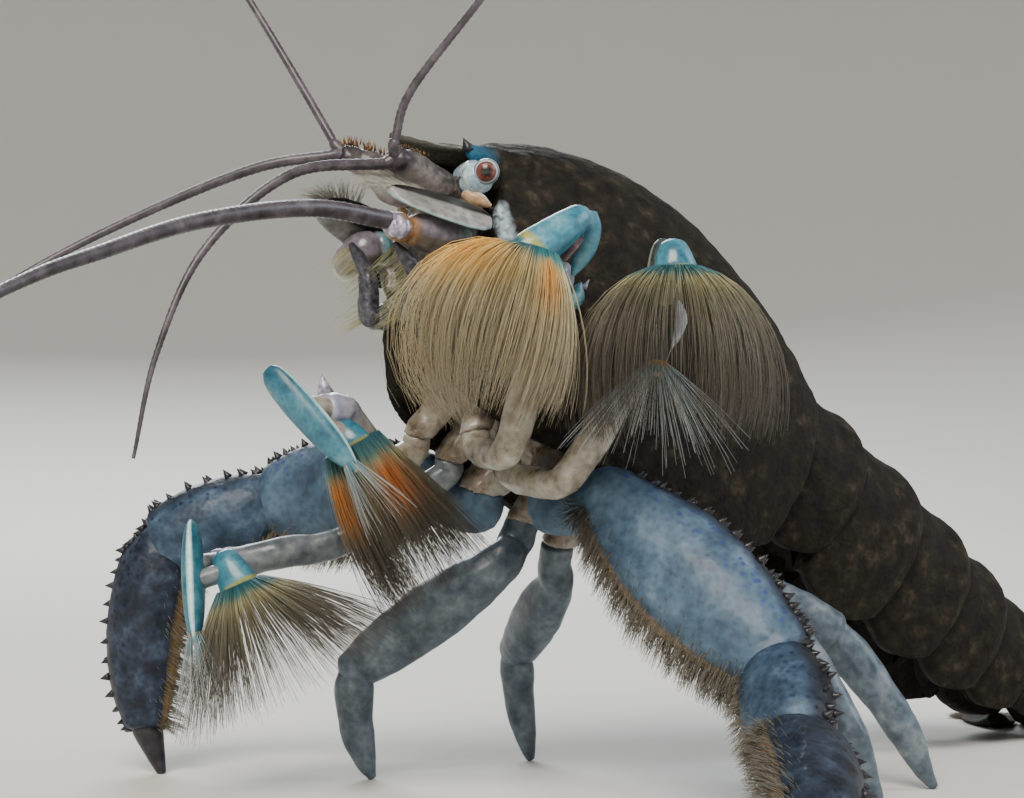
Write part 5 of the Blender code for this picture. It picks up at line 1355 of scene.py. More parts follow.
# %% Fans
def fan(name):
    """One fan and its arm: the arm, the spoon's two halves, the bell and the brush."""
    row = ARMS[name]
    coxa, out = coxa_joint(row["coxa"], row["side"])
    elbow, wrist, heel, tip, root, cap_end, axis = (
        np.array(row[key], float)
        for key in ("elbow", "wrist", "heel", "tip", "root", "cap_end", "axis")
    )
    knuckle, heart = (root + cap_end) / 2, (heel + tip) / 2
    axis = unit(axis)
    palm = heel + (tip - heel) * PALM_AT
    joint = wrist + (palm - wrist) * PALM_AT
    bend = spline((coxa + out * 1.2, elbow, (elbow + wrist) / 2, wrist), 7)
    sizes = [(radius, radius * ARM_FLATNESS) for radius in ARM_RADII]
    arm = Tube((coxa, *bend, joint), sizes, up=vec(-1.0, 0.0, 0.2), sides=48)
    # The hindmost arm takes the darker copy of the arm shell, which is painted shade.
    finish = SHADED_ARM_CHITIN if row.get("finish") else ARM_CHITIN
    shell = tube_object(f"{name}_arm_shell", arm, finish, roughened(arm, 0.1, 1.1))
    dress(shell, "pale_limb", f"{name}_arm")

    blade = row_tube(rows_between(heel, tip, HAND), up=unit(knuckle - heart), sides=48, step=0.2)
    hand = tube_object(f"{name}_blade", blade, HOLLOW_CHITIN if row.get("hollow") else TURQUOISE_CHITIN)
    mark(hand, rim=blade.around(np.abs(np.sin(blade.angles))))
    dress(hand, "turquoise_hand")
    for k, (start, end, radii) in enumerate(((palm, joint, PALM_PEG), (heart, knuckle, KNUCKLE_PEG))):
        peg = row_tube(rows_between(start, end, [(t, r, r) for t, r in radii]), sides=32)
        dress(tube_object(f"{name}_peg_{k}", peg, finish), "pale_limb")
    if "spine" in row:
        foot, way, length, radius = row["spine"]
        spike(f"{name}_spine", foot, way, KNOB_CHITIN, length, radius, "pale_limb")

    cap = row_tube(rows_between(root, cap_end, CAP), up=NEAR, sides=48, step=0.12)
    dress(tube_object(f"{name}_cap", cap, CAP_CHITIN), "turquoise_hand")
    lines, share = bell_lines(
        root, axis, row["half"], row["left"], row["right"], row["bend"], row["count"],
        row.get("sparse"),
    )
    roots = np.stack((share, rng.random(len(share))), 1)
    marks = gold_marks(share, row["gold"])
    hair = SMOKE_HAIR if row.get("smoky") else FAN_HAIR
    bell = bristles(f"{name}_bell", lines, hair, BELL_THICKNESS, roots, 0.35, marks)
    dress(bell, "bristle", f"{name}_finger")

    way = unit(tip - heel)
    *angles, count = row["brush"]
    lines, share = bell_lines(
        tip - way * BRUSH_BEHIND_TIP, axis * 0.4 + way * 0.6, (0.35, 0.35), angles, angles,
        BRUSH_BEND, count, spread=BRUSH_SPREAD,
    )
    roots = np.stack((share, rng.random(len(share))), 1)
    brush = bristles(f"{name}_brush", lines, BRUSH_HAIR, BRUSH_THICKNESS, roots, 0.4)
    dress(brush, "turquoise_hand", f"{name}_hand")
    return len(bell.data.polygons) + len(brush.data.polygons)


def near_part(name, rows, sides, material, slot):
    """One of the small parts of the nearest fan."""
    return dress(tube_object(name, row_tube(rows, up=NEAR, sides=sides, step=0.1), material), slot)


for fan_name in ARMS:
    print(fan_name, fan(fan_name), "faces")
second = near_part("second_blade", SECOND_BLADE, 40, TURQUOISE_CHITIN, "turquoise_hand")
mark(second, rim=np.full(len(second.data.vertices), 0.4))
near_part("carpus_tooth", CARPUS_TOOTH, 32, TOOTH_CHITIN, "pale_limb")
near_part("spoon_slot", SLOT, 40, SLOT_CHITIN, "turquoise_hand")

# %% [markdown]
# ## The head
# Under the rostrum sit the stalked eyes, the antennules with their crest of spines, the antennae
# with a leaf-shaped scale each, and the mouth with its palps. All are chitin, so most take the
# shells' finish with smaller pits. The cornea is clear over a ring of red-brown pigment with a dark
# pupil; drawn by how far a point lies from the gaze, its rings stay sharp where a picture blurs.

# %% Head finishes
# Feeler: hard, plum grey and a little glossy.
FEELER_CHITIN = shell_finish(
    "feeler_chitin", ("#292428", "#423B41", "#625A60"), 1.4, 0.3, 0.03, 0.4, coat=0.15,
)
# Antenna stem: violet-grey over mottled brown, a teal rim where it leaves the head, then a rusty
# joint and a glassy whitish end.
STEM_CHITIN = shell_finish(
    "stem_chitin", ("#57515C", "#716A74", "#8D858C"), 1.3, 0.4, 0.03, 0.3, coat=0.35,
    bands=(
        ("side", -0.3, -0.45, "#625850"), ("along", 0.14, 0.04, "#4E8C96"),
        ("along", 0.48, 0.56, "#84603F"), ("along", 0.78, 0.86, "#77707F"),
    ),
)
# Antennule stem: plum-brown toward its end; its dark plum-brown top over a pinkish grey, glossy underside
# is partly painted shade, the rostrum's shadow on the stem.
ANTENNULE_CHITIN = shell_finish(
    "antennule_chitin", ("#2B2624", "#47403D", "#6A625E"), 0.8, 0.35, 0.06, 0.42, coat=0.2,
    bands=(("side", 0.1, -0.6, "#8C8280"), ("along", 0.7, 0.86, "#271E27")),
)
# Orbital lobe: the soft, peach-coloured skin under each eye, whitish on its top as a painted highlight.
LOBE_CHITIN = shell_finish(
    "lobe_chitin", ("#8E6E50", "#AE8B68", "#C9AE8C"), 0.9, 0.4, 0.02, 0.4, coat=0.15,
    bands=(("side", 0.5, 0.95, "#D8D2C4"),),
)
# Scale: thin, pale and a little greenish; the dark toward its inner edge is painted shade, the shadow
# between the scale and the head.
SCALE_CHITIN = shell_finish(
    "scale_chitin", ("#62605C", "#807D7A", "#A19E9E"), 1.5, 0.5, 0.03, 0.36, coat=0.15,
    bands=(("inward", -0.12, 0.1, "#12110D"), ("inward", -0.92, -0.99, "#8FA8A8")),
)
# Face: dark folds between pale ones.
FACE_CHITIN = shell_finish(
    "face_chitin", ("#211D1C", "#3B3632", "#5F5A54", "#8C8880"), 1.3, 0.4, 0.06, 0.36, coat=0.35,
    bands=(("peach", 0.2, 0.9, "#D2A67C"), ("blue", 0.2, 0.9, "#9DB6C6")),
)
# Eye stalk: bluish-white, glossy and wet.
STALK_CHITIN = shell_finish(
    "stalk_chitin", ("#6C8CA0", "#A9C3CF", "#D7E3E6"), 0.9, 0.3, 0.03, 0.2, coat=0.7,
    bands=(("along", 0.93, 0.99, "#2B2A2E"),),
)
# Crest spines: dark at the root, amber at the tip.
CREST_CHITIN = shell_finish("crest_chitin", ("#2A2018", "#5B4022", "#A8762F"), 0.6, 0.3, 0.01, 0.35)
# Palp and scale hair: long and soft, yellow-green at the mouth and grey on the scale.
PALP_HAIR = seta_finish("palp_bristle", ((0.02, "#6E6A44"), (0.2, "#A39E6C"), (0.95, "#B9B68C")))
SCALE_HAIR = seta_finish("scale_bristle", ((0.02, "#6F6D62"), (0.2, "#96948A"), (0.95, "#A8A69A")))


# Cornea: clear chitin over a red-brown pigment, with a black star in its middle and silvery rings.
# How far a point lies from the gaze is stored in the mesh, from 0 at the pupil to 1 at the rim.
CORNEA_TINTS = (
    (0.0, "#050405"), (0.09, "#0A0607"), (0.16, "#3A1412"), (0.24, "#6B2C25"), (0.32, "#7C453A"),
    (0.37, "#543630"), (0.41, "#2A1D1E"), (0.45, "#A7A5A8"), (0.5, "#C6C6CA"), (0.56, "#5C6468"),
    (0.66, "#8FA0AA"),
)


def cornea_finish():
    """The cornea's rings of colour under a wet gloss."""
    made, tree, shader = finish_start("cornea")
    polar = add(tree, "ShaderNodeAttribute", attribute_name="polar")
    stops = [(at, colour(code)) for at, code in CORNEA_TINTS]
    tint = add(tree, "ShaderNodeValToRGB", {"Fac": polar}, stops=stops)
    feed(tree, shader, {
        "Base Color": tint, "Roughness": 0.35, "Coat Weight": 0.3, "Coat Roughness": 0.04,
    })
    return made


CORNEA = cornea_finish()
print("head finishes end with", CORNEA.name)

# %% [markdown]
# ## Where the head's parts lie
# The eyes, feelers, scales and palps are given by the places they pass through, read off the photo
# through the camera. The two sides' feelers are held differently, so each has its own route; what
# is alike is given once and mirrored.

# %% Head tables
EYE_ROOT, EYE_JOINT, EYE_CENTRE = (-8.4, -2.0, 49.9), (-8.9, -3.9, 49.9), (-9.05, -5.85, 49.82)
EYE_BULB, EYE_BULB_RADIUS, CORNEA_RADIUS = (-9.1, -4.7, 49.4), 1.32, 1.06
CORNEA_RINGS, CORNEA_SIDES = 48, 144
ORBITAL_LOBE = (
    (-10.1, -4.2, 48.15, 0.3), (-9.5, -4.7, 47.85, 0.62),
    (-9.0, -5.2, 47.55, 0.5), (-8.5, -5.7, 47.2, 0.16),
)
LOBE_SPINE = (-8.75, -6.1, 46.8)
ANTENNULE_JOINT = (-11.3, -2.3, 48.9)
ANTENNULE_TIPS = {"left": (-16.4, -3.9, 50.4), "right": (-15.8, 4.1, 51.6)}
ANTENNULE_KNEE = {"left": 0.9, "right": 1.8}
ANTENNULE_SIZES = ((1.25, 1.25), (1.4, 1.45), (1.25, 1.3), (1.1, 1.15), (0.95, 1.1))
ANTENNULE_WHIPS = {
    "left_outer": (
        (-17.0, -4.5, 51.4), (-16.0, -5.4, 55.6), (-12.6, -10.0, 62.5),
        (-8.0, -15.5, 71.5), (-2.5, -20.5, 79.0),
    ),
    "left_inner": (
        (-17.2, -3.6, 50.0), (-24.9, -2.1, 48.6), (-31.5, -0.6, 42.5),
        (-35.2, -0.2, 34.6), (-36.8, 0.2, 27.0),
    ),
    "right_outer": (
        (-16.4, 4.6, 52.5), (-17.6, 8.4, 58.2), (-19.4, 12.9, 65.2),
        (-22.0, 18.5, 74.0), (-23.0, 24.0, 82.0),
    ),
    "right_inner": (
        (-16.8, 4.0, 51.6), (-22.6, 7.3, 50.3), (-32.7, 10.3, 45.4),
        (-41.2, 13.2, 40.2), (-50.5, 16.5, 33.0),
    ),
}
ANTENNA_JOINT = (-11.4, -5.2, 44.6)
ANTENNA_STEMS = {
    "left": (
        (-13.3, -5.2, 44.6), (-14.9, -5.3, 44.7), (-16.6, -5.5, 44.7),
        (-17.4, -5.5, 44.9), (-18.3, -5.6, 45.3),
    ),
    "right": (
        (-13.0, 5.8, 44.2), (-12.9, 7.8, 43.5), (-11.9, 9.9, 43.3),
        (-11.1, 10.8, 43.4), (-10.0, 11.3, 43.6),
    ),
}
KNOBS = {"left": (-17.6, -6.0, 44.75), "right": (-10.9, 11.2, 43.2)}
ANTENNA_SIZES = ((1.4, 1.4), (1.62, 1.55), (1.45, 1.4), (1.05, 1.05), (1.15, 1.15), (0.75, 0.75))
ANTENNA_WHIPS = {
    "left": (
        (-26.0, -6.6, 45.5), (-37.1, -10.0, 43.4), (-47.0, -14.5, 40.2),
        (-56.1, -19.0, 36.8), (-77.0, -29.0, 27.0),
    ),
    "right": (
        (0.0, 14.2, 43.8), (14.0, 16.5, 40.5), (30.0, 19.0, 34.5),
        (46.0, 22.5, 27.5), (60.0, 27.0, 21.0),
    ),
}
SCALE_ROOT, SCALE_TIP, SCALE_FACE = (-10.1, -7.4, 45.7), (-17.6, -5.0, 47.7), (0.1, -0.66, 0.75)
SCALE_OUTLINE = (
    (0.0, 0.65), (0.08, 0.92), (0.25, 1.05), (0.5, 1.0), (0.8, 0.8), (0.95, 0.5), (1.0, 0.25),
)
SCALE_HALF_WIDTH, SCALE_HALF_THICKNESS = 2.0, 0.4
MAXILLIPED_ROUTES = {
    "left": ((-13.3, -2.3, 38.6), (-14.7, -3.2, 38.9), (-15.0, -4.5, 41.4), (-17.0, -4.6, 43.7)),
    "right": ((-13.3, 2.3, 38.6), (-14.7, 2.2, 38.7), (-14.9, 2.2, 41.8), (-16.3, 2.5, 44.3)),
}
PALP_GROOVES, STEM_GROOVES = (0.3, 0.66), (0.13, 0.57, 0.72)
MAXILLIPED_SIZES = (
    (1.15, 1.1), (1.15, 1.0), (1.05, 0.9), (1.0, 0.85),
    (0.95, 0.8), (0.85, 0.7), (0.6, 0.55), (0.25, 0.25),
)
print("whips", list(ANTENNULE_WHIPS), "and antennae", list(ANTENNA_WHIPS))

# %% [markdown]
# ## The face
# Between the feelers the head is soft folds of shell. They aren't worth lofting, so a merged copy
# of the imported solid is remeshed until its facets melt, and given shallow relief. Under each eye
# the skin is peach and behind it pale blue, as values near two short lines.

# %% Face
PEACH_LINE, PEACH_REACH = ((-9.6, -4.9, 47.6), (-7.8, -5.4, 47.2)), 1.6
BLUE_LINE, BLUE_REACH = ((-7.4, -6.0, 46.6), (-7.0, -6.4, 44.0)), 1.5


def solid_copy(node, material):
    """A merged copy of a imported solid, in the body's frame, ready to be remeshed."""
    form = bmesh.new()
    form.from_mesh(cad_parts[node].data)
    bmesh.ops.remove_doubles(form, verts=form.verts, dist=1e-6)
    data = bpy.data.meshes.new(f"{node}_soft")
    form.to_mesh(data)
    form.free()
    data.materials.clear()
    data.materials.append(material)
    return placed(f"{node}_soft", data)


def softened(node, material, voxel, passes, relief, size):
    """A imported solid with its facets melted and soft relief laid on."""
    piece = remeshed(solid_copy(node, material), voxel, passes)
    points, normals = read_points(piece)
    lumps = grain(points, size) * relief + grain(points, size * 0.35, 4.0) * relief * 0.4
    write_points(piece, points + normals * lumps[:, None])
    return piece, points


def face():
    """The head's folds, with a peach lobe under each eye and a pale blue strip behind it."""
    piece, points = softened("head", FACE_CHITIN, 0.2, 14, 0.14, 0.8)
    peach, blue = np.zeros(len(points)), np.zeros(len(points))
    for side in (LEFT, RIGHT):
        start, end = (mirrored(side, place) for place in PEACH_LINE)
        peach = np.maximum(peach, near_line(points, start, end, PEACH_REACH))
        start, end = (mirrored(side, place) for place in BLUE_LINE)
        blue = np.maximum(blue, near_line(points, start, end, BLUE_REACH))
    mark(piece, peach=peach, blue=blue)
    return dress(piece, "pale_limb", "head")


print("face", len(face().data.polygons), "faces")

# %% [markdown]
# ## The eyes
# A shrimp's eye is a ball on a stalk under a clear cornea. The stalk is a tube that swells to the
# bulb. The cornea is part of a ball round the gaze, so fine that the rings stored point by point
# keep smooth edges, and the pupil's star is rays taken off that stored value.

# %% Eyes
GAZE_DIP = 0.12
CORNEA_REACH = 0.62 * math.pi
CORNEA_POLE = 0.01 * math.pi
# Steps along the bulb's axis in mm and the share of its radius there.
BULB = ((-0.75, 0.8), (-0.2, 0.98), (0.3, 1.0), (0.8, 0.82), (1.05, 0.6))


def eye(word, side):
    """A stalk with its bulb, and the cornea that looks out of it."""
    root, joint, bulb, centre = (mirrored(side, p) for p in (EYE_ROOT, EYE_JOINT, EYE_BULB, EYE_CENTRE))
    gaze = unit(mirrored(side, -LOOK - UP * GAZE_DIP))
    aim = unit(centre - bulb)
    rows = [(*root, 0.95, 0.95), (*joint, 1.1, 1.1)]
    for step, share in BULB:
        rows.append((*(bulb + aim * step), EYE_BULB_RADIUS * share, EYE_BULB_RADIUS * share))
    stalk = row_tube(rows, sides=48, step=0.1, ends=(0.3, 0.2))
    dress(tube_object(f"eye_{word}_stalk", stalk, STALK_CHITIN), "pale_limb")

    rows = [(*mirrored(side, place), size, size) for *place, size in ORBITAL_LOBE]
    lobe = row_tube(rows, sides=40, step=0.08)
    piece = tube_object(f"eye_{word}_lobe", lobe, LOBE_CHITIN, roughened(lobe, 0.12, 0.6))
    # side lets the finish paint the lobe's top whitish: a painted highlight.
    mark(piece, side=lobe.around(np.cos(lobe.angles)))
    dress(piece, "pale_limb")
    foot, aim = mirrored(side, LOBE_SPINE), mirrored(side, (-0.3, -0.9, 0.1))
    spike(f"eye_{word}_spine", foot, aim, THORN_CHITIN, 0.7, 0.22, "pale_limb")

    across_up = squared(UP, gaze)
    across = np.cross(gaze, across_up)
    polar, turn = np.meshgrid(
        np.linspace(CORNEA_POLE, CORNEA_REACH, CORNEA_RINGS),
        np.linspace(0, 2 * math.pi, CORNEA_SIDES, endpoint=False), indexing="ij",
    )
    ring = across_up * np.cos(turn)[..., None] + across * np.sin(turn)[..., None]
    ball = centre + CORNEA_RADIUS * (gaze * np.cos(polar)[..., None] + ring * np.sin(polar)[..., None])
    points = np.vstack((ball.reshape(-1, 3), centre + gaze * CORNEA_RADIUS, ball[-1].mean(0)))
    ray = 0.5 + 0.5 * np.sin(turn * 9 + np.sin(turn * 3.0) * 1.5) * (0.6 + 0.4 * np.sin(turn * 17.0))
    seen = polar / CORNEA_REACH
    star = seen - 0.13 * ray * np.exp(-((seen / 0.3) ** 4)) * np.minimum(seen / 0.1, 1.0)
    marks = {"polar": np.append(star.ravel(), (0.0, 1.0))}
    piece = mesh_object(f"eye_{word}_cornea", points, grid_faces(CORNEA_RINGS, CORNEA_SIDES), CORNEA, marks)
    dress(piece, "eye", f"eye_{word}")


for eye_word, eye_side in SIDES:
    eye(eye_word, eye_side)
print("eyes done")

# %% [markdown]
# ## Antennules
# The upper feelers are the animal's nose: a stout stem of three joints, a crest of small amber
# spines, and two ringed whips. The stem is a tube, the spines stand on rows of its surface, and
# the whips are swept by the feeler tree from a short smooth root.

# %% Antennules
# Where the two groups of crest spines stand, as shares of the antennule's stem, and in which rows.
CREST_GROUPS = ((0.5, 0.66), (0.76, 0.95))
CREST_ROWS, CREST_COUNT = (-0.5, -0.2, 0.1, 0.4), 7
CREST_LENGTH, CREST_RADIUS = {"left": 0.25, "right": 0.75}, 0.07
WHIP_ROOTS = {"outer": 0.34, "inner": 0.44}
WHIP_TIP, WHIP_RING = 0.13, 0.55


def antennule(word, side):
    """The upper feeler: a stout stem with a crest of spines, and two whips."""
    joint, tip = mirrored(side, ANTENNULE_JOINT), vec(*ANTENNULE_TIPS[word])
    knee = joint + mirrored(side, (-2.4, -0.7, ANTENNULE_KNEE[word]))
    elbow = joint + mirrored(side, (-1.0, -0.2, 0.3))
    path = [joint + vec(0.6, 0, 0), elbow, knee, knee * 0.45 + tip * 0.55, tip]
    stem = Tube(path, ANTENNULE_SIZES, sides=40, step=0.15, ends=(0.3, 0.6))
    shell = tube_object(f"antennule_{word}_shell", stem, ANTENNULE_CHITIN, roughened(stem, 0.12, 0.7))
    # side lets the finish keep the stem's top dark and pale its underside: partly painted shade from the
    # rostrum.
    mark(shell, side=stem.around(np.cos(stem.angles)))
    dress(shell, "dark_feeler", f"antennule_{word}_stem")
    points, leans = [], []
    for angle in CREST_ROWS:
        for start, end in CREST_GROUPS:
            line, out, way = stem.row(angle, np.linspace(start, end, CREST_COUNT))
            points.append(line + out * 0.12 + rng.normal(0, 0.06, line.shape))
            leans.append(unit(UP + way * 0.1 + rng.normal(0, 0.16, line.shape)))
    crest = thorns(
        f"antennule_{word}_crest", np.vstack(points), np.vstack(leans), CREST_CHITIN,
        CREST_LENGTH[word], CREST_RADIUS,
    )
    dress(crest, "dark_feeler")
    for kind, thick in WHIP_ROOTS.items():
        route = np.array(ANTENNULE_WHIPS[f"{word}_{kind}"])
        root = tip + (tip - route[0]) * 0.3
        path = (root, (root + route[0]) / 2, route[0], route[0] + (route[1] - route[0]) * 0.05)
        prong = Tube(path, [(size, size) for size in (0.6, 0.56, 0.48, 0.4)], sides=28, step=0.1)
        dress(tube_object(f"antennule_{word}_{kind}_prong", prong, FEELER_CHITIN), "dark_feeler")
        whip = feeler(f"antennule_{word}_{kind}", route, FEELER_CHITIN, thick, WHIP_TIP, WHIP_RING)
        dress(whip, "dark_feeler", f"antennule_{word}_{kind}_whip")


print("antennules in", len(ANTENNULE_SIZES), "stations each")

# %% [markdown]
# ## Antennae
# The lower feelers are longer and stronger. The stem bends out of the head in three joints, which
# show as grooves, and ends in a glassy knob from which the whip leaves. The knob is a short tube
# of its own, because it turns on the stem in life.

# %% Antennae
KNOB_SIZES = ((0.72, 0.66), (0.9, 0.82), (0.76, 0.7))
KNOB_STEPS = (-0.45, 0.0, 0.45)


def antenna(word, side):
    """The lower feeler: a thick stem in three joints and one strong ringed whip."""
    path = [mirrored(side, ANTENNA_JOINT), *[vec(*p) for p in ANTENNA_STEMS[word]]]
    stem = Tube(path, ANTENNA_SIZES, sides=48, step=0.12)
    rings = grooved(stem, roughened(stem, 0.05, 0.8), 0.1, 0.018, STEM_GROOVES)
    shell = tube_object(f"antenna_{word}_shell", stem, STEM_CHITIN, rings)
    places = [vec(*KNOBS[word]) + vec(x, 0.0, 0.12 * x) for x in KNOB_STEPS]
    knob = Tube(places, KNOB_SIZES, sides=40, step=0.08, ends=(0.7, 0.7))
    dress(tube_object(f"antenna_{word}_knob", knob, KNOB_CHITIN, roughened(knob, 0.1, 0.5)), "pale_limb")
    mark(shell, side=stem.around(np.cos(stem.angles)))
    dress(shell, "pale_limb", f"antenna_{word}_stem")
    route = [path[-1], *[vec(*p) for p in ANTENNA_WHIPS[word]]]
    whip = feeler(f"antenna_{word}", route, FEELER_CHITIN, 0.7, WHIP_TIP, 0.6, 0.08)
    dress(whip, "dark_feeler", f"antenna_{word}_whip")


print("antennae in", len(ANTENNA_SIZES), "stations each")

# %% [markdown]
# ## Antennal scales
# Beside each antenna lies a thin leaf of shell, a rudder for swimming backward, with long soft
# hairs on its far and inner edge. It is a very flat tube, since a plane cut to its outline would
# have no thickness. Which side faces inward is stored for its finish.

# %% Antennal scales
SCALE_HAIRS, SCALE_HAIR_STEPS, SCALE_HAIR_THICKNESS = 240, 7, 0.022
SCALE_HAIR_FROM, SCALE_TURN = 0.55, (56.0, -8.0)
SCALE_HAIR_SAG = 0.5


def antennal_scale(word, side):
    """The leaf-shaped scale, with long bristles along its inner and far edge."""
    root, tip = mirrored(side, SCALE_ROOT), mirrored(side, SCALE_TIP)
    face_way = squared(mirrored(side, SCALE_FACE), tip - root)
    table = [(t, SCALE_HALF_THICKNESS, SCALE_HALF_WIDTH * share) for t, share in SCALE_OUTLINE]
    leaf = row_tube(rows_between(root, tip, table), up=face_way, sides=64, step=0.15, ends=(0.8, 0.9))
    piece = tube_object(f"scale_{word}_leaf", leaf, SCALE_CHITIN, roughened(leaf, 0.05, 1.0))
    inner = math.pi / 2 * side
    # inward lets the finish paint the inner half dark as painted shade, and the outer edge teal.
    mark(piece, inward=leaf.around(np.cos(leaf.angles - inner)))
    dress(piece, "pale_limb", f"antennal_scale_{word}")
    place = rng.uniform(SCALE_HAIR_FROM, 1.0, SCALE_HAIRS)
    foot, out, _ = leaf.row(inner, place)
    turn = np.interp(place, (SCALE_HAIR_FROM, 1.0), SCALE_TURN) + rng.normal(0, 6.0, SCALE_HAIRS)
    turn = np.radians(turn)[:, None]
    way = unit(tip - root)
    aim = unit(out * np.sin(turn) + way * np.cos(turn) + rng.normal(0, 0.05, (SCALE_HAIRS, 3)))
    reach = rng.uniform(2.4, 3.9, SCALE_HAIRS)[:, None]
    lines = drooping(foot - aim * 0.3, aim, reach, SCALE_HAIR_STEPS, SCALE_HAIR_SAG)
    roots = np.stack((place, rng.random(SCALE_HAIRS)), 1)
    hair = bristles(f"scale_{word}_hair", lines, SCALE_HAIR, SCALE_HAIR_THICKNESS, roots)
    dress(hair, "pale_limb")


print("scale hairs on each side:", SCALE_HAIRS)

# %% [markdown]
# ## Mouth palps
# In front of the mouth two palps hold up a comb of yellow-green hairs that sweeps food from the
# fans. Each palp is a tube through four places with two grooves where its joints are, and its
# hairs hang forward and down like a short beard.

# %% Mouth palps
COMB_HAIRS, COMB_STEPS, COMB_THICKNESS, COMB_SAG = 150, 6, 0.02, 0.4


def maxilliped(word, side):
    """A palp held in front of the mouth, with its comb of yellow-green hairs."""
    path = spline(MAXILLIPED_ROUTES[word], len(MAXILLIPED_SIZES))
    palp = Tube(path, MAXILLIPED_SIZES, up=vec(0.3, 1.0, 0.0), sides=40, step=0.15)
    rings = grooved(palp, roughened(palp, 0.08, 0.5), 0.12, 0.015, PALP_GROOVES)
    shell = tube_object(f"maxilliped_{word}_palp", palp, PALP_CHITIN, rings)
    dress(shell, "pale_limb", f"maxilliped_{word}")
    place = np.sort(rng.uniform(0.25, 0.9, COMB_HAIRS))
    foot = read_rows(palp.axis, place * (len(palp.axis) - 1))
    aim = unit(np.stack((
        np.full(COMB_HAIRS, -0.9), 0.3 - 0.05 * side + rng.normal(0, 0.14, COMB_HAIRS),
        -0.2 - 0.6 * place + rng.normal(0, 0.1, COMB_HAIRS),
    ), 1))
    reach = rng.uniform(1.4, 3.6, COMB_HAIRS)[:, None]
    lines = drooping(foot, aim, reach, COMB_STEPS, COMB_SAG)
    roots = np.stack((place, rng.random(COMB_HAIRS)), 1)
    comb = bristles(f"maxilliped_{word}_comb", lines, PALP_HAIR, COMB_THICKNESS, roots)
    dress(comb, "pale_limb")


for head_word, head_side in SIDES:
    antennule(head_word, head_side)
    antenna(head_word, head_side)
    antennal_scale(head_word, head_side)
    maxilliped(head_word, head_side)

# %% [markdown]
# ## Underside and walking legs
# The sternum with its ten sockets is remeshed like the face. The fourth and fifth legs are slim
# and smooth, lofted from hip to floor like the third legs but without spines or hair. Their lumps
# are low, because their shell is thinner.

# %% Underside and walking legs
# Walking leg chitin: thin and smooth, steel grey, with a dark claw at its very end.
WALK_CHITIN = shell_finish(
    "walking_leg_chitin", ("#28333C", "#3E4B57", "#56636E", "#727C82"), 2.2, 0.5, 0.05, 0.4, coat=0.12,
    bands=(("along", 0.93, 0.99, "#2A211C"),),
)
WALKING_LEGS = {
    "leg_4_left": dict(
        side=LEFT, hip=(3.6, -9.6, 20.6), knee=(8.4, -21.6, 13.6),
        heel=(10.6, -25.6, 6.6), foot=(12.4, -27.4, 0.0),
    ),
    "leg_4_right": dict(
        side=RIGHT, hip=(0.4, 4.6, 18.4), knee=(-8.4, 13.8, 9.2),
        heel=(-8.2, 13.6, 4.2), foot=(-7.4, 12.4, 0.0),
    ),
    "leg_5_left": dict(
        side=LEFT, hip=(9.0, -8.4, 17.6), knee=(18.6, -16.6, 13.0),
        heel=(23.0, -19.6, 6.0), foot=(25.8, -21.0, 0.0),
    ),
    "leg_5_right": dict(
        side=RIGHT, hip=(7.2, 5.4, 16.4), knee=(9.6, 14.2, 10.0),
        heel=(10.6, 14.8, 4.8), foot=(11.0, 13.8, 0.0),
    ),
}
WALKING_THIGH = ((1.45, 1.45), (1.6, 1.45), (1.8, 1.5), (2.6, 1.9), (2.4, 1.8), (1.75, 1.5))
WALKING_SHIN = ((1.3, 1.2), (1.75, 1.5), (1.5, 1.35), (1.4, 1.2), (0.85, 0.8), (0.4, 0.4))
# The thigh's finish stops short of the claw's dark end.
THIGH_SHARE = 0.9


def walking_leg(name):
    """A slim leg: thigh, shin and the small dark claw at its end."""
    leg = WALKING_LEGS[name]
    coxa, out = coxa_joint(name[:5], leg["side"])
    hip, knee, heel, foot = (np.array(leg[key], float) for key in ("hip", "knee", "heel", "foot"))
    drop = (coxa + out * 1.2) * 0.7 + hip * 0.3
    path = [coxa, drop, hip, hip + (knee - hip) * 0.35, hip + (knee - hip) * 0.75, knee]
    thigh = Tube(path, WALKING_THIGH, sides=44, ends=(0.3, 0.7))
    piece = tube_object(f"{name}_thigh_shell", thigh, WALK_CHITIN, roughened(thigh, 0.1, 1.2))
    for share in piece.data.attributes["along"].data:
        share.value *= THIGH_SHARE
    dress(piece, "blue_shell", f"{name}_thigh")
    shin_way, foot_way = heel - knee, foot - heel
    path = [
        knee, knee + shin_way * 0.3, knee + shin_way * 0.8,
        heel + foot_way * 0.2, heel + foot_way * 0.7, foot + UP * 0.3,
    ]
    shin = Tube(path, WALKING_SHIN, up=hip - knee, sides=44, ends=(0.6, 0.7))
    piece = tube_object(f"{name}_shin_shell", shin, WALK_CHITIN, roughened(shin, 0.07, 1.0))
    dress(piece, "blue_shell", f"{name}_shin")


underside, _ = softened("sternum", PALE_CHITIN, 0.28, 12, 0.12, 1.2)
dress(underside, "pale_limb", "sternum")
for leg_name in WALKING_LEGS:
    walking_leg(leg_name)
print("underside and walking legs done")

# %% [markdown]
# ## Abdomen
# The abdomen is six rings that overlap like roof tiles. Each is lofted from its arch and its side
# flaps, and its front end slips under the ring before it. One long tube would bend like a hose;
# separate rings show the edges that catch the light. Under most hang two swimmerets.

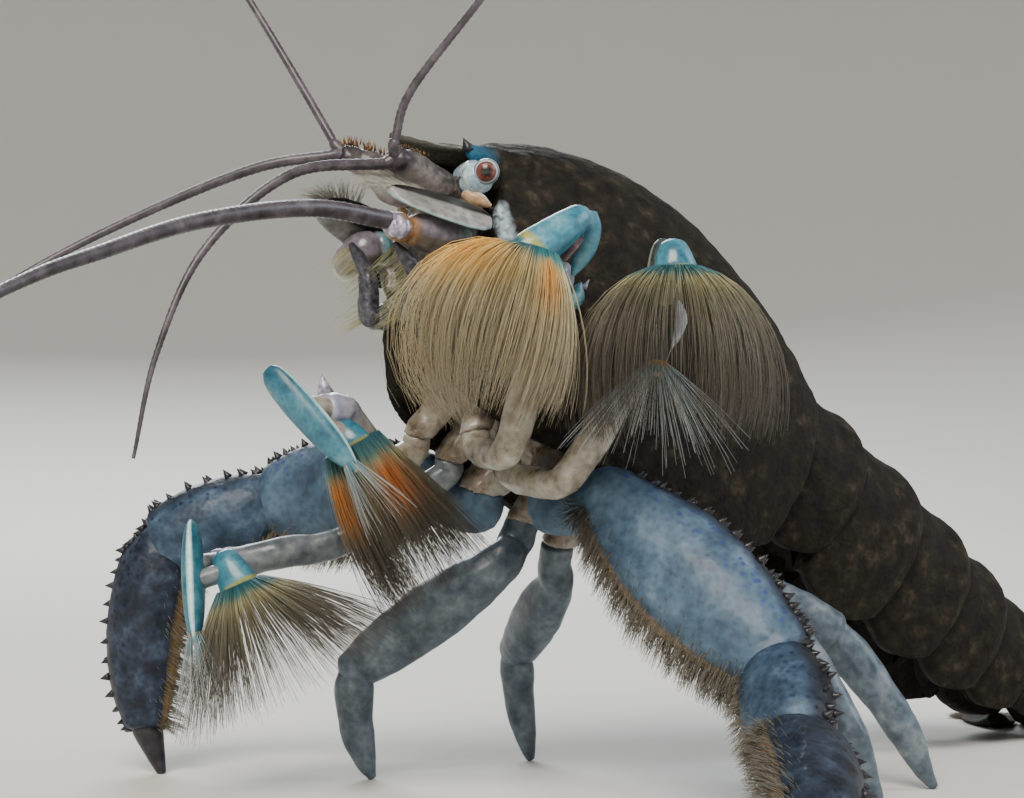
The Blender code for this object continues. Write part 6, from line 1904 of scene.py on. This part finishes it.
# %% Abdomen
# Slope below the horizontal, length, half width, height above and below the axis.
SOMITES = (
    (32.0, 7.0, 9.7, 9.4, 6.5), (31.5, 9.0, 9.9, 9.3, 8.6), (31.0, 8.6, 9.5, 8.9, 7.6),
    (29.5, 7.4, 8.8, 8.2, 6.8), (26.0, 6.8, 7.8, 7.3, 5.6), (21.0, 9.2, 6.4, 5.9, 4.0),
)
ABDOMEN_START = (38.0, 10.6)
SWIMMERETS = (6.4, 6.2, 5.2, 4.2, 3.2)
SOMITE_RINGS = ((-0.06, 0.9), (0.0, 0.93), (0.12, 0.955), (0.55, 0.985), (0.9, 1.03), (1.0, 1.0))
FLAP_WALL = 1.3
SWIMMERET_AT, SWIMMERET_APART = 0.42, 2.6
SWIMMERET = ((0.0, 0.5, 0.9), (0.35, 0.45, 1.3), (0.7, 0.35, 1.2), (1.0, 0.12, 0.3))


def slope_axes(degrees):
    """Backward and upward directions at a slope below the horizontal."""
    a = math.radians(degrees)
    return vec(math.cos(a), 0.0, -math.sin(a)), vec(math.sin(a), 0.0, math.cos(a))


def abdomen_joints():
    """The axis points between somites and the normal of each joint plane."""
    points = [body(ABDOMEN_START[0], 0.0, ABDOMEN_START[1])]
    for slope, length, *_ in SOMITES:
        points.append(points[-1] + slope_axes(slope)[0] * length)
    slopes = [math.degrees(PITCH), *[s[0] for s in SOMITES], 18.0]
    return points, [slope_axes((a + b) / 2)[0] for a, b in zip(slopes, slopes[1:])]


def somite(k, points, normals):
    """One overlapping ring of the abdomen, with its pair of swimmerets."""
    slope, length, half_width, high, low = SOMITES[k]
    back, up = slope_axes(slope)
    after = SOMITES[min(k + 1, len(SOMITES) - 1)]
    shares = np.linspace(SOMITE_RINGS[0][0], 1.0, 34)
    rings = []
    for t, scale in zip(shares, curve(SOMITE_RINGS, shares)):
        wide = (half_width + (after[2] - half_width) * t * 0.6) * scale
        tall = (high + (after[3] - high) * t * 0.6) * scale
        deep = low * (0.72 + 0.28 * math.sin(math.pi * min(1.0, max(t, 0.0) * 0.9 + 0.1)))
        w, h = shell_outline(tall, wide, -deep, 0.2, 0.5, -deep * 0.35, FLAP_WALL, 36, 20)
        middle = points[k] + back * (length * t)
        ring = middle + np.outer(w, vec(0.0, -1.0, 0.0)) + np.outer(h, up)
        plane, share = (normals[k], 1 - max(t, 0)) if t < 0.5 else (normals[k + 1], t)
        leaning = ((ring - middle) @ plane) / (back @ plane)
        rings.append(ring - back * (leaning * share**3)[:, None])
    rings = np.array(rings)
    count, sides = rings.shape[:2]
    table = np.vstack((rings.reshape(-1, 3), rings[0].mean(0), rings[-1].mean(0)))
    skin = table[:-2]
    skin += unit(skin - middle) * (0.1 * grain(skin, 1.6) + 0.06 * grain(skin, 0.6))[:, None]
    pieces = [mesh_object("ring", table, grid_faces(count, sides), BROWN_CHITIN)]
    if k < len(SWIMMERETS):
        for side in (LEFT, RIGHT):
            foot = points[k] + back * (length * SWIMMERET_AT) - up * (low * 0.15)
            foot = foot + vec(0.0, -SWIMMERET_APART * side, 0.0)
            end = foot + unit(back * 0.42 - up) * (low * 0.2 + SWIMMERETS[k])
            limb = row_tube(rows_between(foot, end, SWIMMERET), up=back, sides=28)
            pieces.append(tube_object("swimmeret", limb, BROWN_CHITIN))
    piece = joined(f"abdomen_{k + 1}_shell", pieces)
    piece.data.shade_smooth()
    return dress(piece, "brown_shell", f"abdomen_{k + 1}")


abdomen_points, abdomen_normals = abdomen_joints()
for somite_number in range(len(SOMITES)):
    somite(somite_number, abdomen_points, abdomen_normals)
print("abdomen of", len(SOMITES), "rings")

# %% [markdown]
# ## Tail fan
# The telson lies between two pairs of blades, the uropods, which the animal spreads to dart
# backward. Each blade is a flat tube along its midrib, turned by its spread and lowered until it
# rests on the floor; the legs' fringe grows along both its edges.

# %% Tail fan
TELSON_SLOPE, TELSON_LENGTH, TELSON_RISE = 22.0, 12.5, 1.2
TELSON = (
    (-0.06, 2.3, 2.5), (0.0, 2.4, 2.7), (0.15, 2.2, 3.0),
    (0.55, 1.4, 2.3), (0.9, 0.8, 1.5), (1.0, 0.45, 0.9),
)
TAIL_BLADE = (
    (0.0, 0.35, 0.6), (0.22, 0.7, 0.5), (0.5, 1.0, 0.4),
    (0.78, 0.96, 0.35), (0.94, 0.62, 0.3), (1.0, 0.3, 0.25),
)
TAIL_BLADE_SINK, BLADE_REST, UROPOD_BEHIND = 0.6, 0.8, 0.45
# Spread in degrees, length, half width, root's place aside and below the axis, and drop.
UROPODS = {"outer": (46.0, 13.0, 2.7, 4.0, -3.1, 3.2), "inner": (15.0, 12.8, 2.1, 2.5, -1.6, 4.7)}
UROPOD_HAIRS, UROPOD_HAIR, UROPOD_HAIR_SPREAD = (0.55, 0.97, 420), 1.8, 0.2


def on_floor(piece):
    """Lets nothing of a piece dip below the floor."""
    for corner in piece.data.vertices:
        corner.co.z = max(corner.co.z, 0.0)
    return piece


def tail_fan(points, normals):
    """The telson and the four uropods, with hairs along the blades' far edges."""
    back, up = slope_axes(TELSON_SLOPE)
    end = points[-1]
    start = end + up * TELSON_RISE
    telson = row_tube(rows_between(start, start + back * TELSON_LENGTH, TELSON), up=up, sides=48)
    piece = tube_object("telson_shell", telson, BROWN_CHITIN, roughened(telson, 0.08, 1.2))
    dress(on_floor(piece), "brown_shell", "telson")
    for kind, (spread, length, half_width, aside, low, drop) in UROPODS.items():
        for word, side in SIDES:
            a = math.radians(spread)
            aim = unit(vec(math.cos(a), -math.sin(a) * side, 0.0) * length - UP * drop)
            root = end + normals[-1] * UROPOD_BEHIND + up * low - vec(0.0, aside * side, 0.0)
            rows = []
            for t, wide, thick in TAIL_BLADE:
                place = root + aim * (length * t) - UP * (TAIL_BLADE_SINK * t * t)
                place[2] = max(place[2], thick * BLADE_REST)
                rows.append((*place, thick, half_width * wide))
            blade = row_tube(rows, up=squared(UP, aim), sides=48, ends=(0.4, 1.0))
            name = f"uropod_{word}_{kind}"
            dress(on_floor(tube_object(f"{name}_blade", blade, BROWN_CHITIN)), "blue_shell", name)
            for ending, edge in (("", math.pi / 2), ("_2", -math.pi / 2)):
                on_floor(fringe(
                    f"{name}_hair{ending}", blade, *UROPOD_HAIRS, UROPOD_HAIR, edge, UROPOD_HAIR_SPREAD,
                ))


tail_fan(abdomen_points, abdomen_normals)
